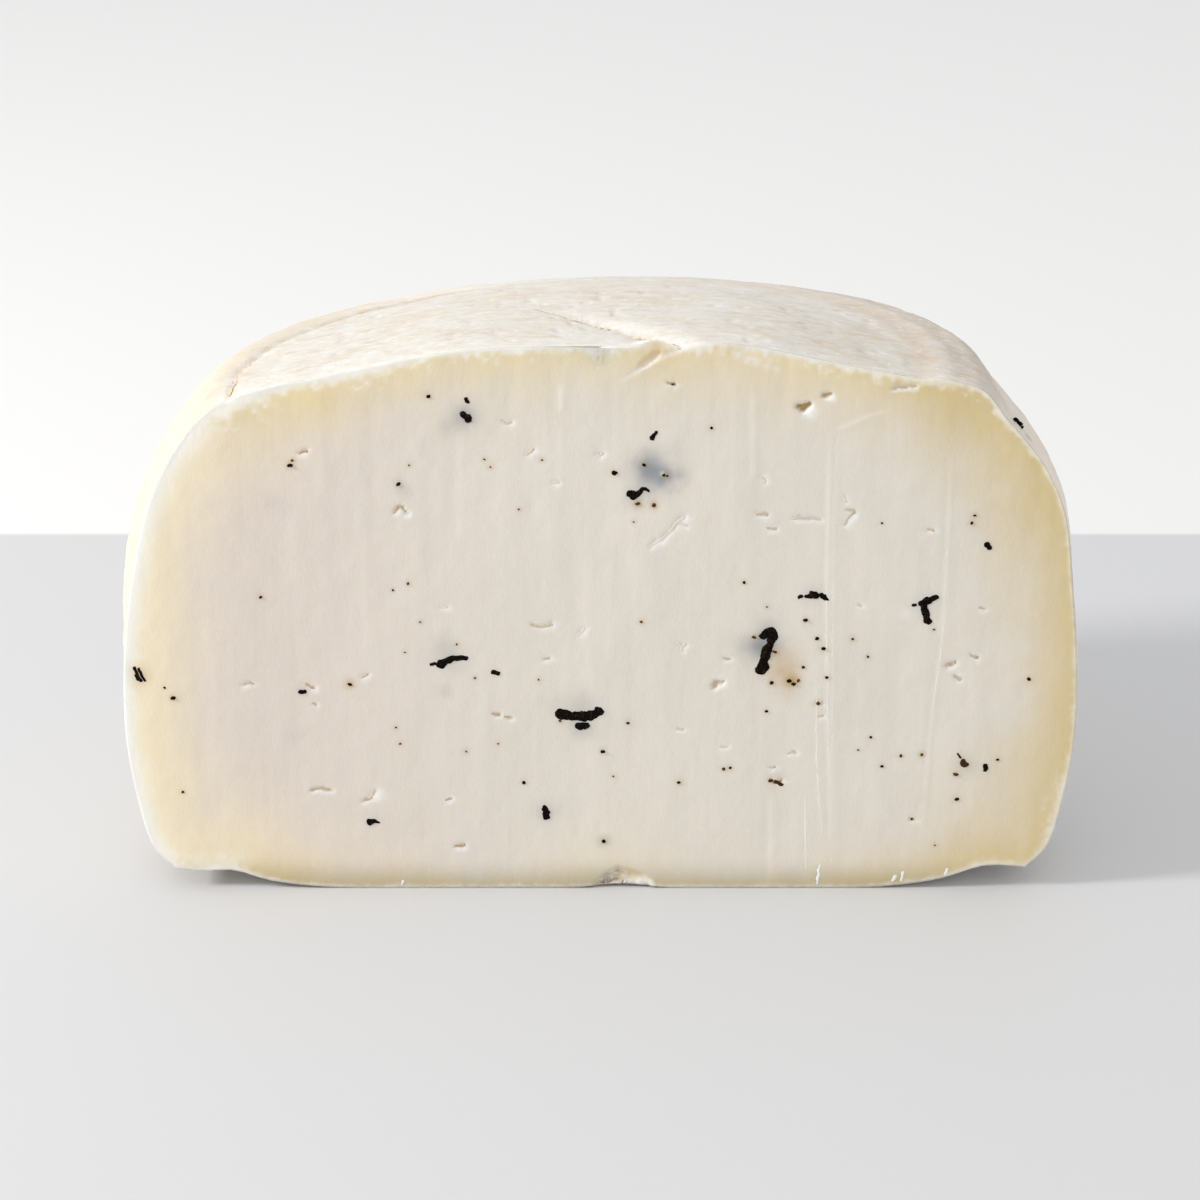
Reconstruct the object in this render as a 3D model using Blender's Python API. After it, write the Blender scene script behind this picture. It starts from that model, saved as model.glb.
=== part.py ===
"""A wheel of pale truffle cheese, cut through a little in front of its middle.

The piece stands on its base with the cut face towards -Y. The rind side is the wheel's
turned outline: each ring is a circle round the wheel's axis, cut off at the face. The cut
face is a grid stretched between the four sides of that outline. Pieces of truffle stand
slightly proud of the face, and the union at the end makes everything one solid.
"""

import math

import bmesh
import bpy
import numpy as np

MM = 0.001

# The wheel and where it was cut
CUT_OFFSET = 13.0 * MM
FACE_Y = -43.4 * MM
AXIS_Y = FACE_Y + CUT_OFFSET
INNER_RING = 25.0 * MM

# Outline of the wheel as (radius, height): the base from its middle to the foot, the wall
# from the foot to the shoulder, and the domed top from the shoulder to its middle
BASE_MM = [(0, 0), (13, 0), (26, 0), (39, 0), (46, 0.3), (53, 1.2), (60, 2.3), (67.4, 3.3)]
WALL_MM = [(67.4, 3.3), (70.8, 7.5), (72.7, 15), (74.0, 25), (73.9, 36), (72.8, 48),
           (70.9, 60), (67.4, 68.5), (62.8, 75.0)]
TOP_MM = [(62.8, 75.0), (58.6, 78.9), (55.2, 80.5), (52.3, 81.3), (49.4, 82.0), (46, 82.8),
          (43, 83.4), (39.5, 84.2), (36, 85.0), (27, 86.9), (20, 87.7), (14, 88.0), (9, 88.1),
          (4.5, 88.2), (0, 88.2)]
TOP_START = TOP_MM[0][1] * MM
TOP_ROWS_A_SPAN = 2
BASE_ROWS = TOP_ROWS_A_SPAN * (len(TOP_MM) - 1)
WALL_ROWS = 16
COLUMNS = 46

# The wheel isn't quite round: the right shoulder is squarer, the right wall swells, the left
# one is drawn in at the cut and swells behind it, the top leans up to the right, and the
# rind waves
SQUARE_RISE = 1.4 * MM
SQUARE_RADIUS = 60.0 * MM
SQUARE_WIDTH = 7.5 * MM
RIGHT_SWELL = {"height": 65.0 * MM, "width": 10.0 * MM, "at_cut": 0.6 * MM, "behind": 1.1 * MM}
LEFT_SWELL = {"height": 49.0 * MM, "width": 10.0 * MM, "at_cut": 0.0, "behind": 1.0 * MM}
LEFT_INSET = {"height": 64.0 * MM, "width": 15.0 * MM, "at_cut": -1.1 * MM, "behind": -0.4 * MM}
TOP_LEAN = 0.45 * MM
TOP_LEAN_REACH = 30.0 * MM
RIND_WAVE = 0.4 * MM
WAVE_START = 14.0 * MM
WAVE_FOOT = 20.0 * MM
WAVES = [
    {"share": 1.0, "round": 3.0, "turn": 1.1, "height": 19.0 * MM},
    {"share": 0.6, "round": 5.0, "turn": -0.4, "height": 14.0 * MM},
]
CALM_RADIUS = 40.0 * MM
CALM_WIDTH = 20.0 * MM
TOP_BLEND = 5.0 * MM

# A crease runs round the domed top as an oval set forward on it, with a lip outside it, and
# on the right a low ridge follows the shoulder
CREASE_CENTRE = (-4.0 * MM, -38.5 * MM)
CREASE_RADII = (51.5 * MM, 44.5 * MM)
CREASE_DEPTH = 1.0 * MM
CREASE_WIDTH = 1.8 * MM
CREASE_MIDDLE_SHARE = 0.75
CREASE_SIDE_SHARE = 0.25
LIP_HEIGHT = 0.6 * MM
LIP_OUTSIDE = 3.6 * MM
LIP_WIDTH = 3.2 * MM
RIDGE_RADIUS = 51.7 * MM
RIDGE_HEIGHT = 0.6 * MM
RIDGE_WIDTH = 2.2 * MM

# Fold in the top rind, from the cut edge back to the left; at the cut its near side arches up
FOLD_START = (12.2 * MM, FACE_Y)
FOLD_END = (-10.0 * MM, FACE_Y + 20.5 * MM)
FOLD_DEPTH = 1.2 * MM
FOLD_WIDTH = 2.2 * MM
FOLD_STEP = 0.8 * MM
FOLD_REACH = 17.0 * MM
FOLD_END_SHARE = 1.15
FOLD_ARCH = 1.4 * MM
FOLD_ARCH_OFF = -2.6 * MM
FOLD_ARCH_WIDTH = 1.8 * MM
FOLD_ARCH_LENGTH = 7.0 * MM

# Foot lifted off the table at the right of the cut
FOOT_LIFT = 1.3 * MM
FOOT_LIFT_X = 60.0 * MM
FOOT_LIFT_WIDTH = 5.0 * MM
FOOT_LIFT_BACK = 18.0 * MM
FOOT_LIFT_TOP = 12.0 * MM
FOOT_LIFT_FADE = 9.0 * MM

# The knife left the face slightly uneven
KNIFE_WAVE = 0.25 * MM
KNIFE_WAVE_X = 23.0 * MM
KNIFE_WAVE_Z = 31.0 * MM

# Truffle on the face, as (x, z) along each piece and its width
TRUFFLE_MM = {
    "curved_bar": ([(-6.7, 29.8), (-3.4, 29.0), (0.3, 29.9)], 1.5),
    "bar_nub": ([(-3.3, 27.4), (-2.1, 27.2)], 1.1),
    "hooked_rod": ([(24.3, 41.7), (26.2, 42.6), (25.4, 39.3), (24.6, 36.6)], 1.6),
    "bent_rod": ([(-25.6, 37.3), (-23.9, 37.2), (-22.3, 38.3), (-20.2, 38.5)], 1.4),
    "tee_bar": ([(47.3, 46.9), (49.2, 47.4), (51.2, 48.4)], 1.1),
    "tee_leg": ([(48.8, 46.9), (49.5, 44.4)], 1.2),
    "dash": ([(29.8, 48.3), (32.2, 48.8), (34.3, 48.1)], 0.9),
    "winged_blob": ([(4.2, 64.6), (5.4, 64.5), (7.1, 65.3)], 1.6),
    "comma": ([(-20.6, 77.1), (-19.4, 76.1)], 1.5),
    "comma_dot": ([(-20.0, 79.5), (-19.7, 78.9)], 1.0),
    "tilted_chip": ([(7.6, 73.6), (8.4, 74.3)], 0.9),
    "standing_bean": ([(-8.6, 13.4), (-8.2, 12.0)], 1.4),
    "wedge_chip": ([(-35.7, 11.5), (-34.2, 11.3)], 1.2),
    "edge_cluster": ([(-70.0, 36.4), (-69.8, 34.8)], 1.4),
    "diamond": ([(58.1, 56.5), (58.6, 56.0)], 1.1),
    "short_chip": ([(-16.3, 36.0), (-15.5, 36.0)], 0.9),
    "brown_cluster": ([(55.5, 21.2), (56.5, 21.1)], 1.1),
    "round_speck": ([(59.1, 20.7), (59.5, 20.1)], 1.0),
}
TRUFFLE_PROUD = 0.3 * MM
TRUFFLE_BURIED = 0.9 * MM
TRUFFLE_SIDES = 7
TRUFFLE_END = 0.45

# Hollows: the torn end of the fold, and the chip where the base left the face
FOLD_TEAR = {
    "at": (6.4 * MM, FACE_Y, 85.1 * MM),
    "radii": (3.2 * MM, 1.6 * MM, 0.9 * MM),
    "turn": -38.0,
}
BASE_CHIP = {
    "at": (3.6 * MM, FACE_Y, 0.0),
    "radii": (4.8 * MM, 2.4 * MM, 3.5 * MM),
    "turn": 0.0,
}

SHARP_DEGREES = 40.0

CHEESE_COLOUR = (0.74, 0.68, 0.58, 1.0)
TRUFFLE_COLOUR = (0.012, 0.008, 0.006, 1.0)


def clear_scene():
    """Start from an empty scene."""
    for obj in list(bpy.data.objects):
        bpy.data.objects.remove(obj, do_unlink=True)


def material(name, colour, roughness):
    """A plain surface of one colour."""
    made = bpy.data.materials.new(name)
    made.use_nodes = True
    shader = made.node_tree.nodes["Principled BSDF"]
    shader.inputs["Base Color"].default_value = colour
    shader.inputs["Roughness"].default_value = roughness
    shader.inputs["Metallic"].default_value = 0.0
    made.diffuse_color = colour
    return made


def ease(value):
    """0 below 0, 1 above 1, and a smooth rise between."""
    value = np.clip(value, 0.0, 1.0)
    return value * value * (3.0 - 2.0 * value)


def hump(value, centre, width):
    """A smooth hump of height 1 at centre."""
    return np.exp(-(((value - centre) / width) ** 2))


def smooth_curve(points, rows):
    """Read rows + 1 points from a smooth curve through the given points.

    Each span is a cubic whose end slopes follow its neighbours, so that the curve runs
    through every point without a corner.
    """
    points = np.array(points, float)
    before = np.vstack([2 * points[0] - points[1], points, 2 * points[-1] - points[-2]])
    place = np.linspace(0.0, len(points) - 1.0, rows + 1)
    span = np.minimum(place.astype(int), len(points) - 2)
    t = (place - span)[:, None]
    p0, p1, p2, p3 = (before[span + shift] for shift in range(4))
    slope_in, slope_out = (p2 - p0) / 2, (p3 - p1) / 2
    return (
        (2 * t**3 - 3 * t**2 + 1) * p1
        + (t**3 - 2 * t**2 + t) * slope_in
        + (3 * t**2 - 2 * t**3) * p2
        + (t**3 - t**2) * slope_out
    )


def wheel_outline():
    """The outline as radius and height for each row, from the base's middle to the top's."""
    base = smooth_curve(BASE_MM, BASE_ROWS)
    wall = smooth_curve(WALL_MM, WALL_ROWS)
    top = smooth_curve(TOP_MM, TOP_ROWS_A_SPAN * (len(TOP_MM) - 1))
    return np.vstack([np.maximum(base, 0.0), wall[1:], top[1:]]) * MM


def ring_reach(radius, angle):
    """How far a ring reaches from the middle of the cut edge, in each direction.

    A ring wider than INNER_RING is a circle round the wheel's axis. Inside it the rings are
    that one made smaller, so that they close on the middle of the cut edge.
    """
    circle = np.maximum(radius, INNER_RING)
    reach = CUT_OFFSET * np.sin(angle) + np.sqrt(circle**2 - (CUT_OFFSET * np.cos(angle)) ** 2)
    return reach * radius / circle


def fold_height(x, y):
    """Height that the fold adds to the top: a crease, with the far side standing higher."""
    start = np.array(FOLD_START)
    along = np.array(FOLD_END) - start
    length = float(np.hypot(*along))
    along = along / length
    run = (x - start[0]) * along[0] + (y - start[1]) * along[1]
    off = (x - start[0]) * along[1] - (y - start[1]) * along[0]
    fade = ease(FOLD_END_SHARE - run / length) * ease(1.0 + run / FOLD_REACH)
    crease = -FOLD_DEPTH * hump(off, 0.0, FOLD_WIDTH)
    step = FOLD_STEP * np.tanh(off / FOLD_WIDTH) * hump(off, 0.0, FOLD_REACH)
    arch = FOLD_ARCH * hump(off, FOLD_ARCH_OFF, FOLD_ARCH_WIDTH) * hump(run, 0.0, FOLD_ARCH_LENGTH)
    return fade * (crease + step + arch)


def crease_height(x, y):
    """Height of the oval crease and the lip outside it, deepest on the left."""
    across, back = (x - CREASE_CENTRE[0]) / CREASE_RADII[0], (y - CREASE_CENTRE[1]) / CREASE_RADII[1]
    outside = (np.hypot(across, back) - 1.0) * sum(CREASE_RADII) / 2
    crease = -CREASE_DEPTH * hump(outside, 0.0, CREASE_WIDTH)
    lip = LIP_HEIGHT * hump(outside, LIP_OUTSIDE, LIP_WIDTH)
    return (CREASE_MIDDLE_SHARE - CREASE_SIDE_SHARE * np.tanh(across)) * (crease + lip)


def swell(place, height, behind):
    """How far a swelling pushes the wall out, from its size at the cut to that behind it."""
    size = place["at_cut"] + (place["behind"] - place["at_cut"]) * behind
    return size * hump(height, place["height"], place["width"])


def rind_wave(azimuth, height):
    """The slow waves of the rind round the wheel and up it."""
    turns = (wave["round"] * azimuth + wave["turn"] + height / wave["height"] for wave in WAVES)
    return sum(wave["share"] * np.sin(turn) for wave, turn in zip(WAVES, turns))


def rind_side():
    """Points of the base, wall and top: a grid of rows up the outline and columns round it."""
    outline = wheel_outline()
    rows = len(outline)
    angle = np.linspace(0.0, math.pi, COLUMNS + 1)[None, :]
    radius, height = outline[:, :1], np.repeat(outline[:, 1:], COLUMNS + 1, axis=1)
    reach = ring_reach(radius, angle)
    x = reach * np.cos(angle)
    y = FACE_Y + reach * np.sin(angle)
    true_radius = np.hypot(x, y - AXIS_Y)
    azimuth = np.arctan2(y - AXIS_Y, x)

    top_start = BASE_ROWS + WALL_ROWS
    is_top = (np.arange(rows) >= top_start)[:, None]
    top_curve = outline[top_start:][::-1]
    dome = np.interp(true_radius, top_curve[:, 0], top_curve[:, 1])
    height = np.where(is_top, dome, height)

    behind = ease((y - FACE_Y) / WAVE_START)
    outwards = behind * RIND_WAVE * rind_wave(azimuth, height) * ease(height / WAVE_FOOT)
    outwards = outwards + swell(RIGHT_SWELL, height, behind) * ease(np.cos(azimuth))
    outwards = outwards + swell(LEFT_SWELL, height, behind) * ease(-np.cos(azimuth))
    outwards = outwards + swell(LEFT_INSET, height, behind) * ease(-np.cos(azimuth))
    calm = ease((true_radius - CALM_RADIUS) / CALM_WIDTH)
    outwards = np.where(is_top, outwards * calm, outwards)
    x = x + outwards * np.cos(azimuth)
    y = y + outwards * np.sin(azimuth) * behind

    top_fade = ease((height - TOP_START) / TOP_BLEND)
    rise = TOP_LEAN * np.tanh(x / TOP_LEAN_REACH)
    shoulder = SQUARE_RISE * hump(true_radius, SQUARE_RADIUS, SQUARE_WIDTH)
    ridge = RIDGE_HEIGHT * hump(true_radius, RIDGE_RADIUS, RIDGE_WIDTH)
    rise = rise + (shoulder + ridge) * ease(np.cos(azimuth)) + fold_height(x, y) + crease_height(x, y)
    height = height + is_top * top_fade * rise
    lift = FOOT_LIFT * hump(x, FOOT_LIFT_X, FOOT_LIFT_WIDTH)
    lift = lift * ease(1.0 - (y - FACE_Y) / FOOT_LIFT_BACK) * ease((FOOT_LIFT_TOP - height) / FOOT_LIFT_FADE)
    return np.stack([x, y, height + lift], axis=-1)


def stretched_grid(bottom, top, left, right):
    """Fill the area between four edges with a grid, by blending opposite edges."""
    across = np.linspace(0.0, 1.0, len(bottom))[None, :, None]
    up = np.linspace(0.0, 1.0, len(left))[:, None, None]
    blend = (1 - up) * bottom[None] + up * top[None]
    blend = blend + (1 - across) * left[:, None] + across * right[:, None]
    corners = (1 - across) * (1 - up) * bottom[0] + across * (1 - up) * bottom[-1]
    corners = corners + (1 - across) * up * top[0] + across * up * top[-1]
    return blend - corners


def grid_quads(index):
    """Faces between neighbouring points of a grid; a point that repeats leaves a triangle."""
    corners = np.stack([index[:-1, :-1], index[:-1, 1:], index[1:, 1:], index[1:, :-1]], axis=-1)
    return [tuple(dict.fromkeys(quad)) for quad in corners.reshape(-1, 4).tolist()]


def cheese_body(finish):
    """The cut wheel: the rind side and the face as one closed mesh."""
    side = rind_side()
    rows, columns = side.shape[:2]
    index = np.arange(rows * columns).reshape(rows, columns)
    index[0] = index[0, 0]
    index[-1] = index[-1, 0]

    foot, shoulder = BASE_ROWS, BASE_ROWS + WALL_ROWS
    right, left = index[:, 0], index[:, -1]
    edge_bottom = np.concatenate([left[foot:0:-1], right[: foot + 1]])
    edge_top = np.concatenate([left[shoulder:-1], right[shoulder:][::-1]])
    edge_left = left[foot : shoulder + 1]
    edge_right = right[foot : shoulder + 1]

    points = side.reshape(-1, 3)
    face = stretched_grid(*(points[edge] for edge in (edge_bottom, edge_top, edge_left, edge_right)))
    across = np.linspace(0.0, math.pi, face.shape[1])[None, :]
    up = np.linspace(0.0, math.pi, face.shape[0])[:, None]
    knife = np.sin(face[..., 0] / KNIFE_WAVE_X) * np.cos(face[..., 2] / KNIFE_WAVE_Z)
    face[..., 1] += KNIFE_WAVE * knife * np.sin(across) * np.sin(up)

    inner = face[1:-1, 1:-1]
    face_index = np.empty(face.shape[:2], int)
    face_index[0], face_index[-1] = edge_bottom, edge_top
    face_index[:, 0], face_index[:, -1] = edge_left, edge_right
    face_index[1:-1, 1:-1] = len(points) + np.arange(inner.shape[0] * inner.shape[1]).reshape(inner.shape[:2])
    points = np.vstack([points, inner.reshape(-1, 3)])

    faces = grid_quads(index) + grid_quads(face_index)
    return finished_mesh("half_wheel", points, faces, finish)


def finished_mesh(name, points, faces, finish):
    """An object whose unused points are gone and whose faces all point outwards."""
    mesh = bpy.data.meshes.new(name)
    mesh.from_pydata(points.tolist(), [], faces)
    work = bmesh.new()
    work.from_mesh(mesh)
    loose = [vertex for vertex in work.verts if not vertex.link_faces]
    bmesh.ops.delete(work, geom=loose, context="VERTS")
    bmesh.ops.recalc_face_normals(work, faces=work.faces)
    work.to_mesh(mesh)
    work.free()
    mesh.materials.append(finish)
    mesh.shade_smooth()
    mesh.set_sharp_from_angle(angle=math.radians(SHARP_DEGREES))
    obj = bpy.data.objects.new(name, mesh)
    bpy.context.scene.collection.objects.link(obj)
    return obj


def truffle_piece(name, spine_mm, width_mm, finish):
    """A sliver of truffle: a faceted tube along its spine, with blunt ends, half in the face."""
    spine = np.array(spine_mm) * MM
    rows = 2 * (len(spine) - 1) + 2
    middle = smooth_curve(spine, rows)
    direction = np.gradient(middle, axis=0)
    direction = direction / np.linalg.norm(direction, axis=1, keepdims=True)
    end = np.linspace(0.0, 1.0, rows + 1)
    half = width_mm * MM / 2 * (TRUFFLE_END + (1 - TRUFFLE_END) * np.sin(math.pi * end) ** 0.5)
    turn = np.linspace(0.0, 2 * math.pi, TRUFFLE_SIDES, endpoint=False)
    sideways = np.stack([direction[:, 1], -direction[:, 0]], axis=-1)
    flat = middle[:, None] + (half[:, None] * np.cos(turn))[..., None] * sideways[:, None]
    out = FACE_Y - np.sin(turn)[None, :] * np.where(np.sin(turn) > 0, TRUFFLE_PROUD, TRUFFLE_BURIED)
    ring = np.stack([flat[..., 0], np.broadcast_to(out, flat.shape[:2]), flat[..., 1]], axis=-1)
    index = np.arange(ring.shape[0] * TRUFFLE_SIDES).reshape(ring.shape[0], TRUFFLE_SIDES)
    faces = grid_quads(np.hstack([index, index[:, :1]]))
    faces += [tuple(index[0].tolist()), tuple(index[-1].tolist())]
    return finished_mesh(name, ring.reshape(-1, 3), faces, finish)


def hollow(name, at, radii, turn, finish):
    """A rounded hollow to cut away: a ball made long, turned about the Y axis."""
    work = bmesh.new()
    bmesh.ops.create_icosphere(work, subdivisions=2, radius=1.0)
    points = np.array([vertex.co[:] for vertex in work.verts]) * radii
    faces = [tuple(vertex.index for vertex in face.verts) for face in work.faces]
    work.free()
    angle = math.radians(turn)
    x = points[:, 0] * math.cos(angle) + points[:, 2] * math.sin(angle)
    z = -points[:, 0] * math.sin(angle) + points[:, 2] * math.cos(angle)
    placed = np.stack([x, points[:, 1], z], axis=-1) + at
    return finished_mesh(name, placed, faces, finish)


def combine(body, pieces, operation):
    """Join the pieces to the body, or cut them from it, and remove them."""
    group = bpy.data.collections.new(operation.lower())
    bpy.context.scene.collection.children.link(group)
    for piece in pieces:
        bpy.context.scene.collection.objects.unlink(piece)
        group.objects.link(piece)
        piece.hide_render = True
        piece.display_type = "WIRE"
    modifier = body.modifiers.new(operation.lower(), "BOOLEAN")
    modifier.operation = operation
    modifier.operand_type = "COLLECTION"
    modifier.collection = group
    modifier.solver = "EXACT"
    modifier.material_mode = "TRANSFER"
    bpy.context.view_layer.objects.active = body
    bpy.ops.object.modifier_apply(modifier=modifier.name)
    for piece in pieces:
        bpy.data.objects.remove(piece, do_unlink=True)
    bpy.data.collections.remove(group)


def main():
    clear_scene()
    cheese = material("cheese", CHEESE_COLOUR, roughness=0.5)
    truffle = material("truffle", TRUFFLE_COLOUR, roughness=0.6)
    body = cheese_body(cheese)
    tear = hollow("fold_tear", **FOLD_TEAR, finish=cheese)
    chip = hollow("base_chip", **BASE_CHIP, finish=cheese)
    combine(body, [tear, chip], "DIFFERENCE")
    slivers = [truffle_piece(name, spine, width, truffle) for name, (spine, width) in TRUFFLE_MM.items()]
    combine(body, slivers, "UNION")


main()
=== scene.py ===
import math

import bmesh
import bpy
import numpy as np
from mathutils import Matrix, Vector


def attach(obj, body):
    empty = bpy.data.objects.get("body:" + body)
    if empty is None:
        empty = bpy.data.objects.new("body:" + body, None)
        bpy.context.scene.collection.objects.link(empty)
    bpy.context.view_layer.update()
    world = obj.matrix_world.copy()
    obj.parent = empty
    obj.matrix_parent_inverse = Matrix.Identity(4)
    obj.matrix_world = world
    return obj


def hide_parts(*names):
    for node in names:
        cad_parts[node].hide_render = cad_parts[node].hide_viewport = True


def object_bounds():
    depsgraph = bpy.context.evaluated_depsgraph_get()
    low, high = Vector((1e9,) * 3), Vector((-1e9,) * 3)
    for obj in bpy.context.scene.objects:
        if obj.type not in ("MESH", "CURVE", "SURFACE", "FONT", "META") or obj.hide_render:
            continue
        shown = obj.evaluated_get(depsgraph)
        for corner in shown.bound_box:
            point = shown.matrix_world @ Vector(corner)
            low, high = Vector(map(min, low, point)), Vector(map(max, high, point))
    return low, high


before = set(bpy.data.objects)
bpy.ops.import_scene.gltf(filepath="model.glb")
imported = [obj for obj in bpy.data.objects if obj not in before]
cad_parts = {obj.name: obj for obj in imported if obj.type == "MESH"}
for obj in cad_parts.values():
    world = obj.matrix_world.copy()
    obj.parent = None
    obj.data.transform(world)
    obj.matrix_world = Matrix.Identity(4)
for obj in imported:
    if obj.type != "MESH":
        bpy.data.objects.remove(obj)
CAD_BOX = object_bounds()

bl_info = {
    "name": "Cut Truffle Cheese",
    "version": (1, 0, 0),
    "blender": (4, 5, 0),
    "location": "3D View > Sidebar > Cheese",
    "description": "Dresses the cut wheel of truffle cheese: paste, rind, truffle and fine lines",
    "category": "Mesh",
}

MM = 0.001
NODE = "half_wheel"
BODY = "root"

# The wheel and where it was cut, as in the solid
CUT_OFFSET = 13.0 * MM
FACE_Y = -43.4 * MM
AXIS_Y = FACE_Y + CUT_OFFSET
INNER_RING = 25.0 * MM

# Outline of the wheel as (radius, height): the base from its middle to the foot, the wall
# from the foot to the shoulder, and the domed top from the shoulder to its middle
BASE_MM = [(0, 0), (13, 0), (26, 0), (39, 0), (46, 0.3), (53, 1.2), (60, 2.3), (67.4, 3.3)]
WALL_MM = [(67.4, 3.3), (70.8, 7.5), (72.7, 15), (74.0, 25), (73.9, 36), (72.8, 48),
           (70.9, 60), (67.4, 68.5), (62.8, 75.0)]
TOP_MM = [(62.8, 75.0), (58.6, 78.9), (55.2, 80.5), (52.3, 81.3), (49.4, 82.0), (46, 82.8),
          (43, 83.4), (39.5, 84.2), (36, 85.0), (27, 86.9), (20, 87.7), (14, 88.0), (9, 88.1),
          (4.5, 88.2), (0, 88.2)]
TOP_START = TOP_MM[0][1] * MM
TOP_HEIGHT = TOP_MM[-1][1] * MM
WIDEST = 74.0 * MM
CURVE_STEPS = 3000
EDGE_LINE_ROWS = (120, 160, 240)

# How far the wheel is from round
SQUARE_RISE = 1.4 * MM
SQUARE_RADIUS = 60.0 * MM
SQUARE_WIDTH = 7.5 * MM
RIGHT_SWELL = {"height": 65.0 * MM, "width": 10.0 * MM, "at_cut": 0.6 * MM, "behind": 1.1 * MM}
LEFT_SWELL = {"height": 49.0 * MM, "width": 10.0 * MM, "at_cut": 0.0, "behind": 1.0 * MM}
LEFT_INSET = {"height": 64.0 * MM, "width": 15.0 * MM, "at_cut": -1.1 * MM, "behind": -0.4 * MM}
TOP_LEAN = 0.45 * MM
TOP_LEAN_REACH = 30.0 * MM
RIND_WAVE = 0.4 * MM
WAVE_START = 14.0 * MM
WAVE_FOOT = 20.0 * MM
WAVES = [
    {"share": 1.0, "round": 3.0, "turn": 1.1, "height": 19.0 * MM},
    {"share": 0.6, "round": 5.0, "turn": -0.4, "height": 14.0 * MM},
]
CALM_RADIUS = 40.0 * MM
CALM_WIDTH = 20.0 * MM
TOP_BLEND = 5.0 * MM

# Oval crease round the top with its lip, and the low ridge on the right
CREASE_CENTRE = (-4.0 * MM, -38.5 * MM)
CREASE_RADII = (51.5 * MM, 44.5 * MM)
CREASE_DEPTH = 0.25 * MM
CREASE_WIDTH = 1.8 * MM
CREASE_MIDDLE_SHARE = 0.65
CREASE_SIDE_SHARE = 0.46
CREASE_THIN = 0.55
CREASE_WIDE_REACH = 14.0 * MM
CREASE_CRACK = 0.30 * MM
CREASE_CRACK_WIDTH = 0.35 * MM
LIP_HEIGHT = 0.30 * MM
LIP_OUTSIDE = 3.6 * MM
LIP_WIDTH = 3.2 * MM
RIDGE_RADIUS = 51.7 * MM
RIDGE_HEIGHT = 0.5 * MM
RIDGE_WIDTH = 2.0 * MM

# Fold in the top rind, from the cut edge back to the left; at the cut its near side arches up
FOLD_START = (12.2 * MM, FACE_Y)
FOLD_END = (-10.0 * MM, FACE_Y + 20.5 * MM)
FOLD_DEPTH = 0.7 * MM
FOLD_WIDTH = 2.2 * MM
FOLD_STEP = 0.55 * MM
FOLD_REACH = 17.0 * MM
FOLD_END_SHARE = 1.15
FOLD_ARCH = 1.4 * MM
FOLD_ARCH_OFF = -2.6 * MM
FOLD_ARCH_WIDTH = 1.8 * MM
FOLD_ARCH_LENGTH = 7.0 * MM
FOLD_CRACK = 0.45 * MM
FOLD_CRACK_WIDTH = 0.35 * MM

# Feet lifted off the table at the cut, as (x, width, lift, reach backwards)
FOOT_LIFTS_MM = [(60.0, 5.0, 1.3, 18.0), (-56.9, 3.6, 0.9, 9.0)]
FOOT_LIFT_TOP = 12.0 * MM
FOOT_LIFT_FADE = 9.0 * MM

# Torn end of the fold: a hollow in the face, and its amber glow as (x, z, reach, strength)
FOLD_TEAR = {"at": (7.3 * MM, 85.5 * MM), "radii": (2.2 * MM, 0.4 * MM, 0.6 * MM), "turn": -36.0}
TEAR_SHADED = 0.35 * MM
TEAR_GLOW_MM = (8.6, 87.2, 2.2, 0.30)

# Chip where the base left the face, as its upper outline (x, z), and the low arch under it
CHIP_MM = [(-2.2, 0.0), (0.9, 3.0), (2.7, 4.1), (5.3, 3.4), (7.4, 2.5), (9.8, 0.0)]
CHIP_DEPTH = 0.5 * MM
CHIP_SLOPE = 1.3 * MM
CHIP_STEP = 0.12
CHIP_STEPS = 2.5
CHIP_STEP_SIZE = 2.4 * MM
CHIP_ROUGH = 0.18
CHIP_ROUGH_SIZE = 0.9 * MM
CHIP_HIGH = 0.25
CHIP_ARCH = 0.6 * MM
CHIP_ARCH_X = 3.0 * MM
CHIP_ARCH_WIDTH = 4.5 * MM
CHIP_ARCH_BACK = 6.0 * MM

# The knife left the face slightly uneven; near the outline it is calm
KNIFE_WAVE = 0.25 * MM
KNIFE_WAVE_X = 23.0 * MM
KNIFE_WAVE_Z = 31.0 * MM
FACE_BROAD = 0.07 * MM
FACE_BROAD_SIZE = (7.0 * MM, MM, 34.0 * MM)
FACE_LUMPS = 0.035 * MM
FACE_LUMPS_SIZE = (3.4 * MM, MM, 4.5 * MM)
FACE_DRAG = 0.014 * MM
FACE_DRAG_SIZE = (1.6 * MM, MM, 30.0 * MM)
FACE_CURD = 0.012 * MM
FACE_CURD_SIZE = (0.9 * MM, MM, 1.2 * MM)
EDGE_CALM = 0.8 * MM

# Share of a knife line over which each end fades, and how white a burr of 1 mm would be: painted highlight
KNIFE_FADE = 0.2
KNIFE_HIGHLIGHT = 6.0

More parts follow.
